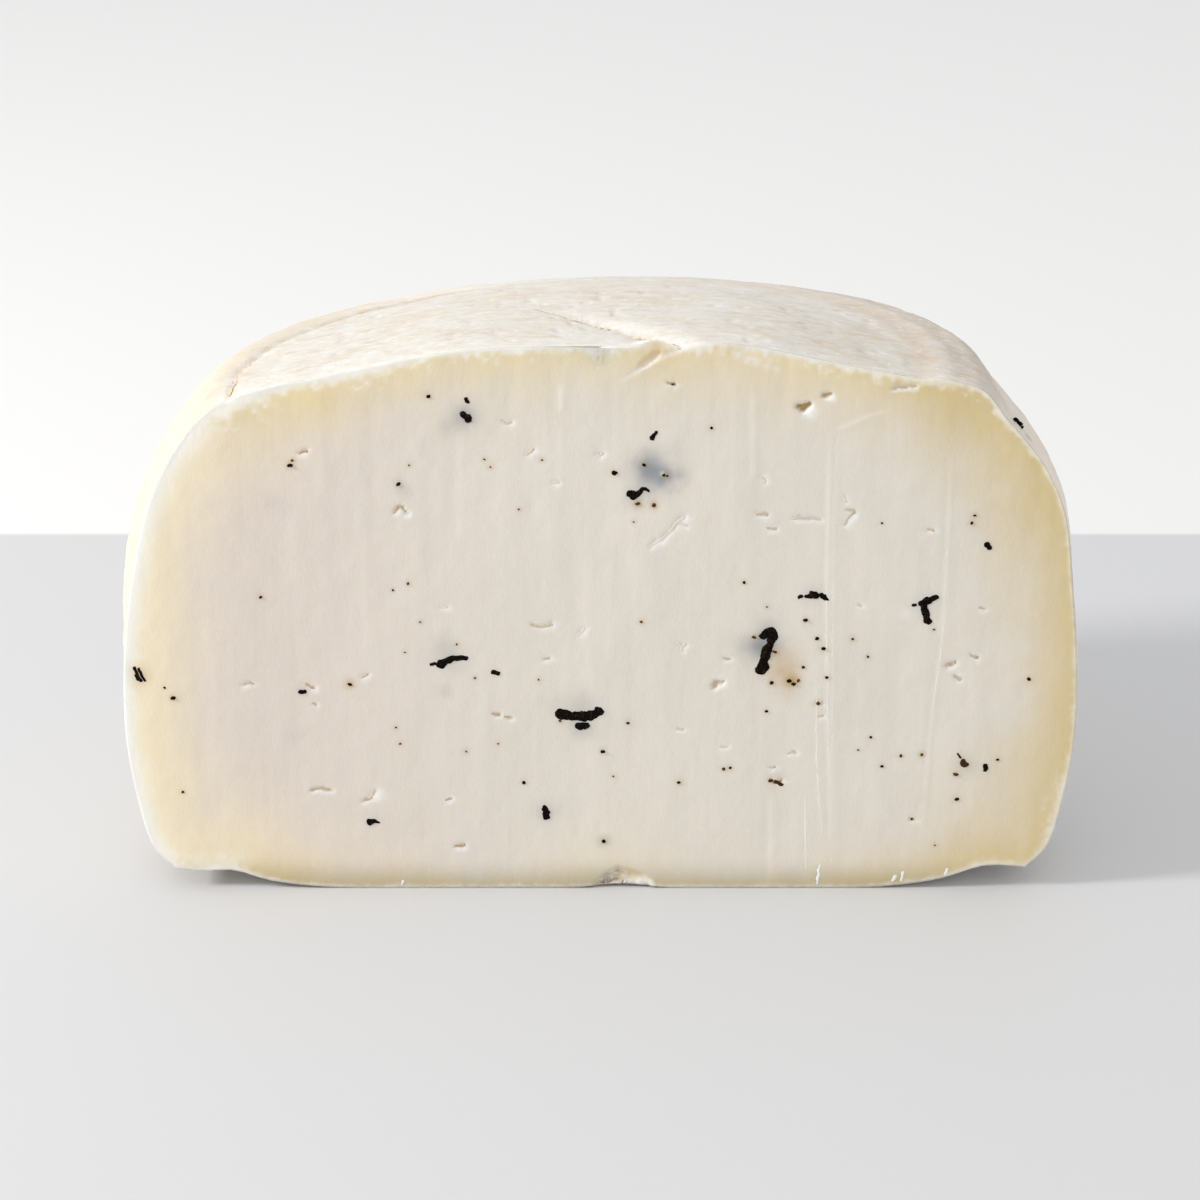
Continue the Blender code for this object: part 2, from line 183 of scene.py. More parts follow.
# Lines that the knife drew down the face, as (x, z) from the top down, with the depth of the
# groove, the height of the burr beside it and its width
KNIFE_LINES_MM = [
    ([(33.7, 79), (33.8, 57), (33.9, 45), (34.6, 25), (35.8, 1)], 0.035, 0.050, 0.28),
    ([(34.9, 74), (34.6, 57), (34.9, 40), (35.4, 20), (36.5, 3)], 0.020, 0.028, 0.28),
    ([(32.5, 35), (33.0, 20), (34.1, 8)], 0.020, 0.025, 0.28),
    ([(31.2, 16), (31.6, 3)], 0.015, 0.020, 0.30),
    ([(51.8, 75), (51.8, 57), (51.5, 41), (50.4, 29), (49.5, 9)], 0.030, 0.035, 0.30),
    ([(42.8, 78.1), (38.6, 76.8), (33.8, 74.5)], 0.030, 0.050, 0.80),
    ([(-6.3, 82), (-6.4, 77)], 0.020, 0.045, 0.45),
    ([(-6.6, 76), (-6.8, 64)], 0.015, 0.020, 0.60),
    ([(-21.8, 75), (-22.0, 56)], 0.015, 0.020, 0.80),
    ([(21.9, 82), (22.0, 66)], 0.015, 0.028, 0.60),
    ([(25.7, 17), (26.0, 0)], 0.020, 0.020, 0.50),
    ([(29.0, 18), (29.3, 1)], 0.010, 0.015, 0.80),
    ([(-0.2, 60), (-0.1, 35)], 0.010, 0.015, 1.20),
]

# Cracks and small eyes in the face, as (x, z) along each one, its half width and depth, and
# how tan it is inside, the tan partly painted shade in the slit
CRACKS_MM = [
    ([(29.6, 78.4), (30.7, 78.4)], 0.45, 0.85, 1.0),
    ([(30.1, 78.1), (30.1, 77.9)], 0.45, 0.85, 1.0),
    ([(33.0, 79.9), (33.8, 80.0)], 0.30, 0.50, 0.9),
    ([(-30.9, 61.7), (-30.1, 62.8), (-29.2, 61.8)], 0.26, 0.45, 0.6),
    ([(-14.7, 76.3), (-14.1, 75.6), (-13.4, 75.9)], 0.25, 0.40, 0.2),
    ([(-0.7, 71.2), (-0.1, 70.6), (0.4, 71.1)], 0.22, 0.35, 0.1),
    ([(-11.0, 70.8), (-10.1, 71.6)], 0.22, 0.35, 0.2),
    ([(-7.4, 66.4), (-6.3, 66.5)], 0.22, 0.35, 0.1),
    ([(12.6, 61.0), (11.5, 60.2), (9.6, 57.9), (7.4, 56.3)], 0.26, 0.40, 0.1),
    ([(11.5, 60.2), (13.0, 59.7)], 0.20, 0.30, 0.1),
    ([(23.4, 61.6), (24.9, 61.4)], 0.24, 0.40, 0.3),
    ([(25.0, 59.3), (26.2, 59.2)], 0.22, 0.35, 0.3),
    ([(28.8, 60.8), (30.4, 61.0), (32.9, 60.6)], 0.24, 0.42, 0.2),
    ([(36.3, 64.4), (36.7, 63.5)], 0.22, 0.35, 0.1),
    ([(36.9, 62.2), (37.9, 62.0), (37.2, 61.0), (36.7, 59.8)], 0.24, 0.38, 0.3),
    ([(24.0, 67.3), (24.6, 66.6)], 0.20, 0.30, 0.1),
    ([(43.2, 81.2), (44.4, 81.4), (46.5, 81.5)], 0.20, 0.30, 0.3),
    ([(49.0, 59.1), (50.0, 58.9)], 0.20, 0.30, 0.3),
    ([(57.2, 46.6), (58.1, 46.4)], 0.20, 0.30, 0.4),
    ([(38.8, 47.3), (39.4, 46.8)], 0.20, 0.30, 0.2),
    ([(-10.5, 43.9), (-9.2, 43.5), (-7.3, 43.8)], 0.27, 0.48, 0.3),
    ([(-8.9, 38.3), (-7.8, 38.4)], 0.24, 0.38, 0.3),
    ([(-3.5, 42.0), (-2.4, 43.2)], 0.22, 0.35, 0.1),
    ([(11.8, 40.9), (12.4, 40.3), (13.0, 40.8)], 0.20, 0.30, 0.1),
    ([(12.4, 40.3), (12.4, 39.6)], 0.20, 0.30, 0.1),
    ([(18.6, 38.4), (19.6, 38.3)], 0.20, 0.30, 0.3),
    ([(17.1, 34.0), (18.5, 34.5)], 0.34, 0.45, 0.5),
    ([(-16.6, 29.3), (-15.6, 29.2)], 0.24, 0.40, 0.7),
    ([(-14.7, 28.9), (-13.9, 28.8)], 0.22, 0.35, 0.6),
    ([(11.6, 26.9), (12.6, 26.7)], 0.20, 0.30, 0.2),
    ([(18.3, 23.9), (19.3, 23.8)], 0.20, 0.30, 0.2),
    ([(-22.5, 7.2), (-21.2, 7.4)], 0.26, 0.42, 0.8),
    ([(-44.8, 16.7), (-43.4, 17.0), (-41.7, 16.8)], 0.28, 0.48, 0.5),
    ([(-36.5, 15.0), (-35.4, 15.3)], 0.28, 0.48, 0.5),
    ([(-35.4, 15.3), (-34.9, 16.6)], 0.26, 0.42, 0.2),
    ([(-23.9, 15.0), (-23.1, 15.2)], 0.24, 0.35, 0.7),
    ([(-54.4, 34.1), (-53.6, 34.5), (-52.9, 34.2)], 0.22, 0.35, 0.4),
    ([(-44.9, 70.9), (-43.7, 71.4)], 0.22, 0.35, 0.9),
    ([(-36.4, 35.3), (-35.6, 35.8)], 0.22, 0.35, 0.3),
    ([(-24.0, 46.8), (-23.2, 46.6)], 0.20, 0.30, 0.1),
    ([(26.0, 20.4), (26.8, 20.3)], 0.20, 0.30, 0.3),
    ([(28.8, 22.6), (29.5, 23.0), (30.1, 22.7)], 0.20, 0.30, 0.3),
    ([(52.6, 37.2), (53.9, 37.6)], 0.28, 0.45, 0.6),
    ([(53.9, 35.4), (54.9, 34.9)], 0.26, 0.42, 0.4),
    ([(56.3, 38.9), (57.3, 38.5)], 0.26, 0.42, 0.5),
    ([(33.0, 31.0), (33.7, 31.1)], 0.26, 0.30, 0.3),
    ([(33.3, 28.8), (33.9, 29.0)], 0.26, 0.30, 0.3),
    ([(47.8, 11.8), (48.5, 11.6)], 0.22, 0.32, 0.5),
    ([(26.2, 18.4), (27.0, 17.7), (27.9, 18.1)], 0.26, 0.42, 1.0),
    ([(-45.0, 34.2), (-43.8, 33.5)], 0.24, 0.38, 0.7),
    ([(-44.1, 31.1), (-43.5, 30.7)], 0.20, 0.30, 0.4),
    ([(9.9, 82.0), (11.0, 81.7)], 0.22, 0.30, 0.8),
]
# Cracks narrower than this are thin lines of their own; in the face they leave only a share
FINE_CRACK = 0.29
FINE_SHARE = 0.3
CRACK_LIP = 0.25 * MM
CRACK_RAGGED = 0.30 * MM
CRACK_GRAIN = 0.8 * MM

# White crack that runs down the face from the fold, with half its width and its depth
FOLD_CRACK_MM = [(13.2, 88.3), (11.4, 86.9), (8.4, 85.6), (5.6, 83.9), (2.9, 82.2)]
FOLD_CRACK_HALF = 0.20 * MM
FOLD_CRACK_DEEP = 0.12 * MM

# Stains in the paste as (x, z, radius, strength), and how uneven their edges are
STAIN_UNEVEN = 0.25
STAIN_GRAIN = 2.6 * MM
GREY_STAINS_MM = [
    (7.7, 68.2, 3.0, 0.78), (6.4, 69.2, 1.2, 0.2), (9.7, 67.6, 1.4, 0.3), (-19.9, 76.9, 2.0, 0.5),
    (-22.9, 75.2, 1.6, 0.16), (-29.6, 65.3, 1.1, 0.20), (-23.1, 39.0, 2.3, 0.26),
    (-23.5, 32.8, 1.0, 0.16), (-3.2, 30.1, 3.2, 0.24), (-2.8, 27.0, 2.3, 0.20), (24.3, 40.3, 2.3, 0.8),
    (25.5, 43.4, 1.7, 0.28), (4.8, 64.3, 1.9, 0.22), (-8.5, 12.9, 1.8, 0.22), (0.5, 8.0, 1.0, 0.28),
    (-48.8, 63.4, 1.4, 0.10), (49.2, 47.0, 1.8, 0.16), (32.2, 48.8, 1.6, 0.16),
    (-35.0, 11.3, 1.2, 0.16), (-45.5, 32.9, 0.9, 0.16), (58.3, 56.4, 0.8, 0.14),
    (-47.1, 25.8, 1.8, 0.07), (56.6, 20.6, 2.0, 0.12),
]
BROWN_STAINS_MM = [
    (28.9, 34.6, 1.8, 0.50), (27.4, 37.6, 2.6, 0.36), (-70.2, 35.7, 1.8, 0.40), (56.0, 21.0, 1.3, 0.22),
    (5.6, 63.3, 0.9, 0.40), (8.0, 62.9, 0.8, 0.35), (27.0, 17.9, 1.1, 0.25), (-30.0, 62.3, 0.8, 0.14),
    (-45.0, 33.2, 1.2, 0.14), (10.6, 81.8, 0.6, 0.25), (-15.9, 35.8, 1.0, 0.12),
    (-38.2, 34.2, 0.9, 0.25), (8.2, 86.8, 2.6, 0.26), (20.0, 87.9, 2.2, 0.24), (49.4, 22.5, 0.7, 0.25),
    (33.4, 30.9, 0.7, 0.30),
]

# Brown halo of each speck: its radius over that share of the speck's width, and its strength
HALO_EXTRA = 0.25
HALO_SHARE = 0.7
HALO_STRENGTH = 0.30

# Patches of the face that are more yellow, and white ones beside the cracks, in the same way;
# the white ones are white curd and painted highlights on the cracks' lit sides
YELLOW_PATCHES_MM = [
    (-43.0, 80.0, 4.5, 0.35), (-30.0, 84.0, 4.0, 0.15), (51.0, 79.5, 6.0, 0.25),
    (61.0, 62.0, 6.0, 0.15),
]
CURD_AND_HIGHLIGHT_PATCHES_MM = [
    (20.2, 86.1, 0.6, 0.6), (21.7, 85.6, 0.5, 0.6), (23.0, 85.0, 0.6, 0.6), (24.6, 84.4, 0.5, 0.5),
    (26.0, 84.0, 0.4, 0.5), (31.0, 77.2, 0.9, 0.75), (34.3, 79.5, 0.5, 0.70), (46.3, 45.6, 0.9, 0.55),
    (-34.0, 15.9, 1.1, 0.60), (-28.7, 61.4, 0.5, 0.65), (8.6, 57.2, 0.9, 0.40), (12.9, 60.6, 0.6, 0.50),
    (-22.9, 15.3, 0.5, 0.50), (18.3, 34.9, 0.6, 0.45), (37.6, 60.6, 0.6, 0.50), (9.2, 67.9, 0.4, 0.60),
    (54.6, 35.7, 0.6, 0.40),
]

# Truffle on the face, as (x, z, width) along each stroke of it
TRUFFLE_MM = {
    "bent_rod": [(-24.2, 37.4, 1.65), (-23.3, 37.9, 1.05), (-22.3, 38.5, 0.97), (-20.5, 38.4, 0.9)],
    "bent_nub": [(-25.7, 37.4, 0.6), (-25.2, 37.5, 0.53)],
    "curved_bar": [
        (-6.1, 29.3, 1.8), (-4.9, 29.0, 1.6), (-3.3, 28.9, 1.45), (-1.6, 29.0, 1.6), (-0.3, 29.6, 1.6),
    ],
    "bar_nub": [(-3.4, 27.2, 1.05), (-2.1, 27.3, 1.05)],
    "rod_head": [
        (24.7, 41.9, 1.1), (25.4, 42.5, 1.5), (26.1, 42.6, 1.6), (26.2, 41.9, 1.5), (25.9, 41.2, 1.2),
    ],
    "rod_shaft": [
        (26.0, 41.2, 1.2), (25.5, 40.0, 1.45), (25.2, 39.1, 1.6), (25.0, 38.1, 1.25), (24.8, 37.3, 1.4),
    ],
    "rod_foot": [(24.8, 36.9, 2.0), (24.5, 36.5, 1.8)],
    "tee_bar": [(48.6, 47.2, 1.1), (49.6, 47.7, 1.2), (50.7, 48.2, 1.0)],
    "tee_nub": [(47.3, 46.9, 0.53), (47.6, 47.0, 0.53)],
    "tee_leg": [(48.9, 46.9, 0.9), (49.2, 45.6, 1.15), (49.6, 44.4, 1.25)],
    "dash_end": [(30.1, 48.3, 0.67), (30.4, 48.4, 0.6)],
    "dash_middle": [(31.0, 48.4, 0.5), (31.7, 48.5, 0.75), (32.3, 48.7, 1.25), (32.7, 48.4, 0.75)],
    "dash_tail": [(33.3, 48.6, 0.75), (33.8, 48.3, 0.9), (34.5, 47.8, 0.3)],
    "wing": [
        (4.3, 64.7, 0.9), (5.0, 64.5, 1.5), (5.6, 64.7, 1.2),
        (6.2, 65.3, 1.0), (6.8, 65.4, 0.7), (7.3, 65.1, 0.3),
    ],
    "comma": [(-20.5, 77.2, 0.7), (-20.1, 76.8, 0.95), (-19.6, 76.4, 1.35)],
    "comma_dot": [(-19.9, 79.4, 0.64), (-19.7, 79.0, 0.64)],
    "tilted_chip": [(7.6, 73.4, 0.67), (8.3, 74.3, 0.6)],
    "bean_top": [(-8.6, 13.7, 0.9), (-8.5, 13.1, 0.9)],
    "bean_foot": [(-8.4, 12.7, 1.2), (-8.4, 12.2, 1.27)],
    "wedge_chip": [(-35.7, 11.3, 0.97), (-35.0, 11.3, 0.75), (-34.2, 11.2, 0.3)],
    "edge_strand_left": [(-70.9, 36.8, 0.48), (-70.6, 35.8, 0.53), (-70.0, 34.7, 0.45)],
    "edge_strand_right": [(-70.3, 36.7, 0.39), (-70.0, 35.8, 0.45), (-69.4, 34.7, 0.36)],
    "edge_strand_low": [(-70.9, 35.6, 0.3), (-70.5, 34.8, 0.39)],
    "diamond": [(58.0, 56.6, 0.82), (58.5, 56.1, 0.82)],
    "short_chip": [(-16.3, 36.1, 0.75), (-15.6, 36.0, 0.75)],
    "round_chip": [(59.2, 20.7, 0.67), (59.3, 20.0, 0.75)],
    "dark_chip": [(-45.8, 32.9, 0.75), (-45.1, 32.9, 0.67)],
}
BROWN_TRUFFLE_MM = {
    "cluster": [(55.8, 21.4, 0.82), (56.1, 20.9, 1.12)],
    "cluster_tail": [(54.9, 22.7, 0.3), (55.4, 22.0, 0.38)],
    "slit": [(26.1, 18.1, 0.57), (26.4, 18.1, 0.57)],
    "slit_tail": [(27.0, 18.0, 0.6), (27.9, 17.4, 0.6)],
}
TRUFFLE_PROUD = 0.12 * MM
TRUFFLE_ROUGH = 0.17 * MM

# Specks of truffle as (x, z, width), black ones and brown ones
BLACK_SPECKS_MM = [
    (-25.4, 79.9, 0.6), (-46.2, 69.2, 0.75), (-30.1, 66.3, 0.64), (-28.5, 69.2, 0.3), (2.1, 68.0, 0.8),
    (16.5, 75.0, 0.4), (-51.3, 48.3, 0.5), (-66.5, 33.6, 0.4), (-65.2, 32.0, 0.8), (-64.4, 16.3, 0.4),
    (-31.3, 27.1, 0.3), (4.2, 27.8, 0.45), (0.4, 23.1, 0.65), (-11.8, 17.9, 0.55), (0.5, 8.0, 0.6),
    (12.1, 17.9, 0.5), (20.0, 20.3, 0.4), (25.4, 29.7, 0.45), (21.7, 50.7, 0.5), (25.2, 46.7, 0.3),
    (31.1, 44.6, 0.65), (32.9, 41.6, 0.55), (33.9, 40.0, 0.65), (34.5, 35.3, 0.5), (26.1, 34.4, 0.6),
    (28.8, 34.7, 0.6), (29.5, 34.2, 0.75), (30.9, 36.9, 0.55), (38.3, 41.5, 0.4), (42.2, 60.1, 0.3),
    (55.7, 60.1, 0.5), (56.1, 61.3, 0.5), (65.3, 35.0, 0.45), (41.5, 25.4, 0.4), (39.6, 23.3, 0.35),
    (43.3, 20.6, 0.5), (46.2, 22.3, 0.45), (61.1, 21.7, 0.5), (55.1, 15.1, 0.55), (-17.3, 70.1, 0.3),
    (-31.3, 49.4, 0.3), (6.5, 69.2, 0.5), (9.5, 67.7, 0.5), (10.0, 67.6, 0.4), (-6.2, 28.1, 0.35),
    (-38.2, 34.2, 0.6),
]
BROWN_SPECKS_MM = [
    (6.2, 44.3, 0.5), (5.6, 63.2, 0.7), (8.0, 62.9, 0.6), (-29.0, 50.5, 0.35), (-27.3, 44.3, 0.3),
    (-29.7, 39.4, 0.3), (-30.7, 24.4, 0.35), (-20.6, 23.1, 0.3), (-15.7, 24.4, 0.3), (2.0, 18.9, 0.3),
    (19.0, 20.1, 0.5), (26.5, 39.4, 0.55), (30.2, 34.7, 0.55), (23.3, 41.8, 0.6), (40.7, 38.6, 0.35),
    (50.6, 43.0, 0.3), (54.7, 19.3, 0.7), (49.4, 22.5, 0.5), (48.2, 11.7, 0.4), (51.9, 7.3, 0.3),
    (-16.4, 68.9, 0.3), (-12.2, 62.3, 0.3), (-8.7, 70.0, 0.3), (5.0, 60.3, 0.3), (-45.9, 69.9, 0.35),
    (33.3, 31.0, 0.6), (-19.1, 35.2, 0.35), (-21.8, 40.7, 0.35), (-9.4, 34.9, 0.3), (10.7, 81.8, 0.4),
]

# Truffle in the rind near the right shoulder, as (x, y, z, width), and a grey stain beside it
RIND_SPECKS_MM = [(62.1, -40.2, 75.3, 1.0), (62.6, -40.0, 74.6, 1.2), (63.0, -39.9, 73.9, 0.8)]
RIND_GREY_MM = (64.3, -39.6, 72.6, 1.4)

# Thin lines on the top rind as (x, y, width): along the fold, dark with painted shade in its crack,
# and the left crease
RIND_LINES_MM = {
    "fold": [(12.2, -43.2, 0.4), (8.9, -40.2, 0.7), (5.3, -37.4, 0.35), (1.2, -33.1, 0.4),
             (-4.8, -28.4, 0.3), (-10.0, -22.9, 0.15)],
    "left": [(-55.3, -40.6, 0.5), (-54.7, -31.2, 0.6), (-52.2, -23.3, 0.35), (-48.7, -16.1, 0.5),
             (-43.3, -10.0, 0.35), (-37.2, -4.2, 0.45), (-29.6, 0.0, 0.3), (-21.6, 3.3, 0.2)],
}
# How dark each line is; the fold's dark is painted shade in its crack
RIND_LINES_DARK = {"fold": 0.8, "left": 0.0}

# Tan patches on the top rind, as (x, y, radius, strength)
TAN_PATCHES_MM = [
    (38.3, -32.7, 3.0, 0.30), (41.3, -22.6, 3.5, 0.35), (45.9, -24.0, 2.5, 0.30),
    (49.7, -31.7, 1.8, 0.45), (35.8, -37.0, 3.0, 0.20), (-53.9, -33.0, 2.2, 0.45),
    (12.0, 6.0, 9.0, 0.15), (-22.0, 20.0, 8.0, 0.2), (30.0, 18.0, 7.0, 0.2), (-2.0, -8.0, 8.0, 0.12),
]

# Yellow margin of the face: where it is wide at the sides and the corner, and narrow below
MARGIN_SIDE_START = 25.0 * MM
MARGIN_SIDE_BLEND = 35.0 * MM
MARGIN_LOW = 16.0 * MM
MARGIN_LOW_HALF = 60.0 * MM
MARGIN_LOW_BLEND = 15.0 * MM
MARGIN_CORNER = (57.0 * MM, 72.0 * MM)
MARGIN_CORNER_REACH = 15.0 * MM
MARGIN_GRAIN = 10.0 * MM

# Where the face turns pinker on the left and darker at the top, and where painted shade darkens it
# on the right, along the base and at the foot
SIDE_START = 5.0 * MM
SIDE_BLEND = 50.0 * MM
SHADE_HIGH = 66.0 * MM
SHADE_HIGH_BLEND = 12.0 * MM
SHADE_LOW = 9.0 * MM
SHADE_LOW_BLEND = 8.0 * MM
FOOT_SHADE = 5.5 * MM

# White rim of rind on the face: its width and roughness along each side, and the places where
# it is wider, as (x, z, reach, extra width)
RIM_MM = {"top": 0.85, "left": 2.30, "right": 0.50, "base": 0.50}
RIM_ROUGH = {"top": 0.6, "left": 0.10, "right": 0.4, "base": 0.3}
RIM_GRAIN = 0.9 * MM
RIM_TOP_Z = 75.0 * MM
RIM_TOP_BLEND = 4.0 * MM
RIM_BASE_Z = 3.0 * MM
RIM_WIDE_MM = [
    (-55.0, 79.0, 8.0, 1.6), (-36.0, 84.5, 7.0, 0.8), (22.5, 87.7, 3.0, 0.35), (50.5, 81.6, 1.2, 0.8),
    (11.8, 88.0, 1.2, 0.4), (64.9, 70.9, 0.8, 0.5), (66.8, 68.2, 0.8, 0.5), (72.3, 38.0, 1.2, 0.3),
    (68.0, 14.0, 7.0, 0.9), (60.0, 2.5, 4.0, 0.5), (-60.0, 2.5, 4.0, 0.6),
]

# White teeth of rind that stand up from the base on the face, as (x, z, width) along each
TEETH_MM = [
    [(33.8, 0.8, 0.35), (33.9, 2.2, 0.5), (34.2, 3.9, 0.25)],
    [(45.6, 1.2, 0.4), (45.9, 2.0, 0.5)],
    [(46.9, 1.2, 0.35), (47.1, 2.7, 0.4)],
    [(53.7, 2.2, 0.35), (54.0, 3.2, 0.45)],
    [(-30.9, 0.6, 0.4), (-30.7, 1.2, 0.4)],
]

# Seeds of the noise and of the random draws, one for each use
SEEDS = {
    "drag": 11, "broad": 17, "curd": 23, "lumps": 29, "cracks": 31, "chip steps": 37, "chip": 39,
    "margin": 41, "rim": 43, "grey": 47, "brown": 53, "white": 57, "yellow": 59, "fibre": 61,
    "wear": 67, "hollows": 71, "pits": 73, "uneven": 77, "ragged": 79, "cut edge": 81,
    "slivers": 101, "speck sizes": 211, "specks": 223, "teeth": 331, "lines": 501,
}
SEED_STEP = 20


# Shape of the wheel


def ease(value):
    """0 below 0, 1 above 1, and a smooth rise between."""
    value = np.clip(value, 0.0, 1.0)
    return value * value * (3.0 - 2.0 * value)


def hump(value, centre, width):
    """A smooth hump of height 1 at centre: e to the minus square of the distance over width."""
    return np.exp(-(((value - centre) / width) ** 2))


def smooth_curve(points, rows):
    """Rows + 1 points on a smooth curve through the points: one cubic for each span."""
    points = np.array(points, float)
    before = np.vstack([2 * points[0] - points[1], points, 2 * points[-1] - points[-2]])
    place = np.linspace(0.0, len(points) - 1.0, rows + 1)
    span = np.minimum(place.astype(int), len(points) - 2)
    t = (place - span)[:, None]
    p0, p1, p2, p3 = (before[span + shift] for shift in range(4))
    slope_in, slope_out = (p2 - p0) / 2, (p3 - p1) / 2
    return (
        (2 * t**3 - 3 * t**2 + 1) * p1
        + (t**3 - 2 * t**2 + t) * slope_in
        + (3 * t**2 - 2 * t**3) * p2
        + (t**3 - t**2) * slope_out
    )


def even_line(points, rows):
    """Rows + 1 points at even steps of length along a line of many points."""
    steps = np.linalg.norm(np.diff(points, axis=0), axis=1)
    length = np.concatenate([[0.0], np.cumsum(steps)])
    place = np.linspace(0.0, length[-1], rows + 1)
    return np.stack([np.interp(place, length, points[:, k]) for k in range(points.shape[1])], axis=-1)


def wheel_outline(base_rows, wall_rows, top_rows, inset=0.0):
    """Radius and height of each row, from the base's middle to the top's, moved in by inset."""
    base = even_line(smooth_curve(BASE_MM, CURVE_STEPS), base_rows)
    wall = even_line(smooth_curve(WALL_MM, CURVE_STEPS), wall_rows)
    top = even_line(smooth_curve(TOP_MM, CURVE_STEPS), top_rows)
    outline = np.vstack([np.maximum(base, 0.0), wall[1:], top[1:]]) * MM
    along = np.gradient(outline, axis=0)
    inwards = np.stack([-along[:, 1], along[:, 0]], axis=-1)
    inwards = inwards / np.linalg.norm(inwards, axis=1, keepdims=True)
    moved = outline + inset * inwards
    moved[0, 0] = moved[-1, 0] = 0.0
    moved[:, 0] = np.maximum(moved[:, 0], 0.0)
    return moved


def ring_reach(radius, angle):
    """How far a ring round the wheel's axis reaches from the middle of the cut edge.

    Rings narrower than INNER_RING are that one made smaller, so they close on that middle.
    """
    circle = np.maximum(radius, INNER_RING)
    reach = CUT_OFFSET * np.sin(angle) + np.sqrt(circle**2 - (CUT_OFFSET * np.cos(angle)) ** 2)
    return reach * radius / circle


def fold_place(x, y):
    """Where a point of the top lies along the fold, and how far off it on the far side."""
    start = np.array(FOLD_START)
    along = np.array(FOLD_END) - start
    length = float(np.hypot(*along))
    along = along / length
    run = (x - start[0]) * along[0] + (y - start[1]) * along[1]
    off = (x - start[0]) * along[1] - (y - start[1]) * along[0]
    fade = ease(FOLD_END_SHARE - run / length) * ease(1.0 + run / FOLD_REACH)
    return run, off, fade


def fold_height(x, y):
    """Height of the fold: a crease whose far side stands higher, and an arch at the cut."""
    run, off, fade = fold_place(x, y)
    crease = -FOLD_DEPTH * hump(off, 0.0, FOLD_WIDTH)
    step = FOLD_STEP * np.tanh(off / FOLD_WIDTH) * hump(off, 0.0, FOLD_REACH)
    arch = FOLD_ARCH * hump(off, FOLD_ARCH_OFF, FOLD_ARCH_WIDTH) * hump(run, 0.0, FOLD_ARCH_LENGTH)
    return fade * (crease + step + arch)


def crease_place(x, y):
    """Distance outside the oval crease, and where the point lies across the oval, -1 to 1."""
    across, back = (x - CREASE_CENTRE[0]) / CREASE_RADII[0], (y - CREASE_CENTRE[1]) / CREASE_RADII[1]
    return (np.hypot(across, back) - 1.0) * sum(CREASE_RADII) / 2, across


def crease_height(x, y):
    """Height of the oval crease and the lip outside it, deepest on the left and wide at the cut."""
    outside, across = crease_place(x, y)
    width = CREASE_WIDTH * (CREASE_THIN + (1.0 - CREASE_THIN) * hump(y, FACE_Y, CREASE_WIDE_REACH))
    crease = -CREASE_DEPTH * hump(outside, 0.0, width)
    lip = LIP_HEIGHT * hump(outside, LIP_OUTSIDE, LIP_WIDTH)
    return (CREASE_MIDDLE_SHARE - CREASE_SIDE_SHARE * np.tanh(across)) * (crease + lip)


def swell(place, height, behind):
    """How far a swelling pushes the wall out, from its size at the cut to that behind it."""
    size = place["at_cut"] + (place["behind"] - place["at_cut"]) * behind
    return size * hump(height, place["height"], place["width"])


def rind_wave(azimuth, height):
    """The slow waves of the rind round the wheel and up it."""
    turns = (wave["round"] * azimuth + wave["turn"] + height / wave["height"] for wave in WAVES)
    return sum(wave["share"] * np.sin(turn) for wave, turn in zip(WAVES, turns))


def top_rise(x, y):
    """Rise of the top over the plain dome.

    It is the sum of its lean, the fold, the crease, and the shoulder and ridge on the right.
    """
    true_radius = np.hypot(x, y - AXIS_Y)
    azimuth = np.arctan2(y - AXIS_Y, x)
    lean = TOP_LEAN * np.tanh(x / TOP_LEAN_REACH)
    shoulder = SQUARE_RISE * hump(true_radius, SQUARE_RADIUS, SQUARE_WIDTH)
    ridge = RIDGE_HEIGHT * hump(true_radius, RIDGE_RADIUS, RIDGE_WIDTH)
    return lean + (shoulder + ridge) * ease(np.cos(azimuth)) + fold_height(x, y) + crease_height(x, y)


def wheel_side(outline, top_start, angle):
    """Points of base, wall and top: rings round the axis, cut off at the face.

    They are then pushed out by the swells, waves and inset, and lifted by the fold, crease, ridge
    and feet.
    """
    radius = outline[:, :1]
    reach = ring_reach(radius, angle)
    height = np.repeat(outline[:, 1:], reach.shape[1], axis=1)
    x = reach * np.cos(angle)
    y = FACE_Y + reach * np.sin(angle)
    true_radius = np.hypot(x, y - AXIS_Y)
    azimuth = np.arctan2(y - AXIS_Y, x)
    is_top = (np.arange(len(outline)) >= top_start)[:, None]
    top_curve = outline[top_start:][::-1]
    dome = np.interp(true_radius, top_curve[:, 0], top_curve[:, 1])
    height = np.where(is_top, dome, height)

    behind = ease((y - FACE_Y) / WAVE_START)
    outwards = behind * RIND_WAVE * rind_wave(azimuth, height) * ease(height / WAVE_FOOT)
    outwards = outwards + swell(RIGHT_SWELL, height, behind) * ease(np.cos(azimuth))
    outwards = outwards + swell(LEFT_SWELL, height, behind) * ease(-np.cos(azimuth))
    outwards = outwards + swell(LEFT_INSET, height, behind) * ease(-np.cos(azimuth))
    calm = ease((true_radius - CALM_RADIUS) / CALM_WIDTH)
    outwards = np.where(is_top, outwards * calm, outwards)
    x = x + outwards * np.cos(azimuth)
    y = y + outwards * np.sin(azimuth) * behind

    top_fade = ease((height - TOP_START) / TOP_BLEND)
    height = height + is_top * top_fade * top_rise(x, y)
    lift = np.zeros(x.shape)
    for at_x, width, rise, back in FOOT_LIFTS_MM:
        near = hump(x, at_x * MM, width * MM) * ease(1.0 - (y - FACE_Y) / (back * MM))
        lift = lift + rise * MM * near * ease((FOOT_LIFT_TOP - height) / FOOT_LIFT_FADE)
    arch = CHIP_ARCH * hump(x, CHIP_ARCH_X, CHIP_ARCH_WIDTH) * ease(1.0 - (y - FACE_Y) / CHIP_ARCH_BACK)
    lift = lift + arch * ease(1.0 - height / CHIP_ARCH_WIDTH)
    return np.stack([x, y, height + lift], axis=-1)


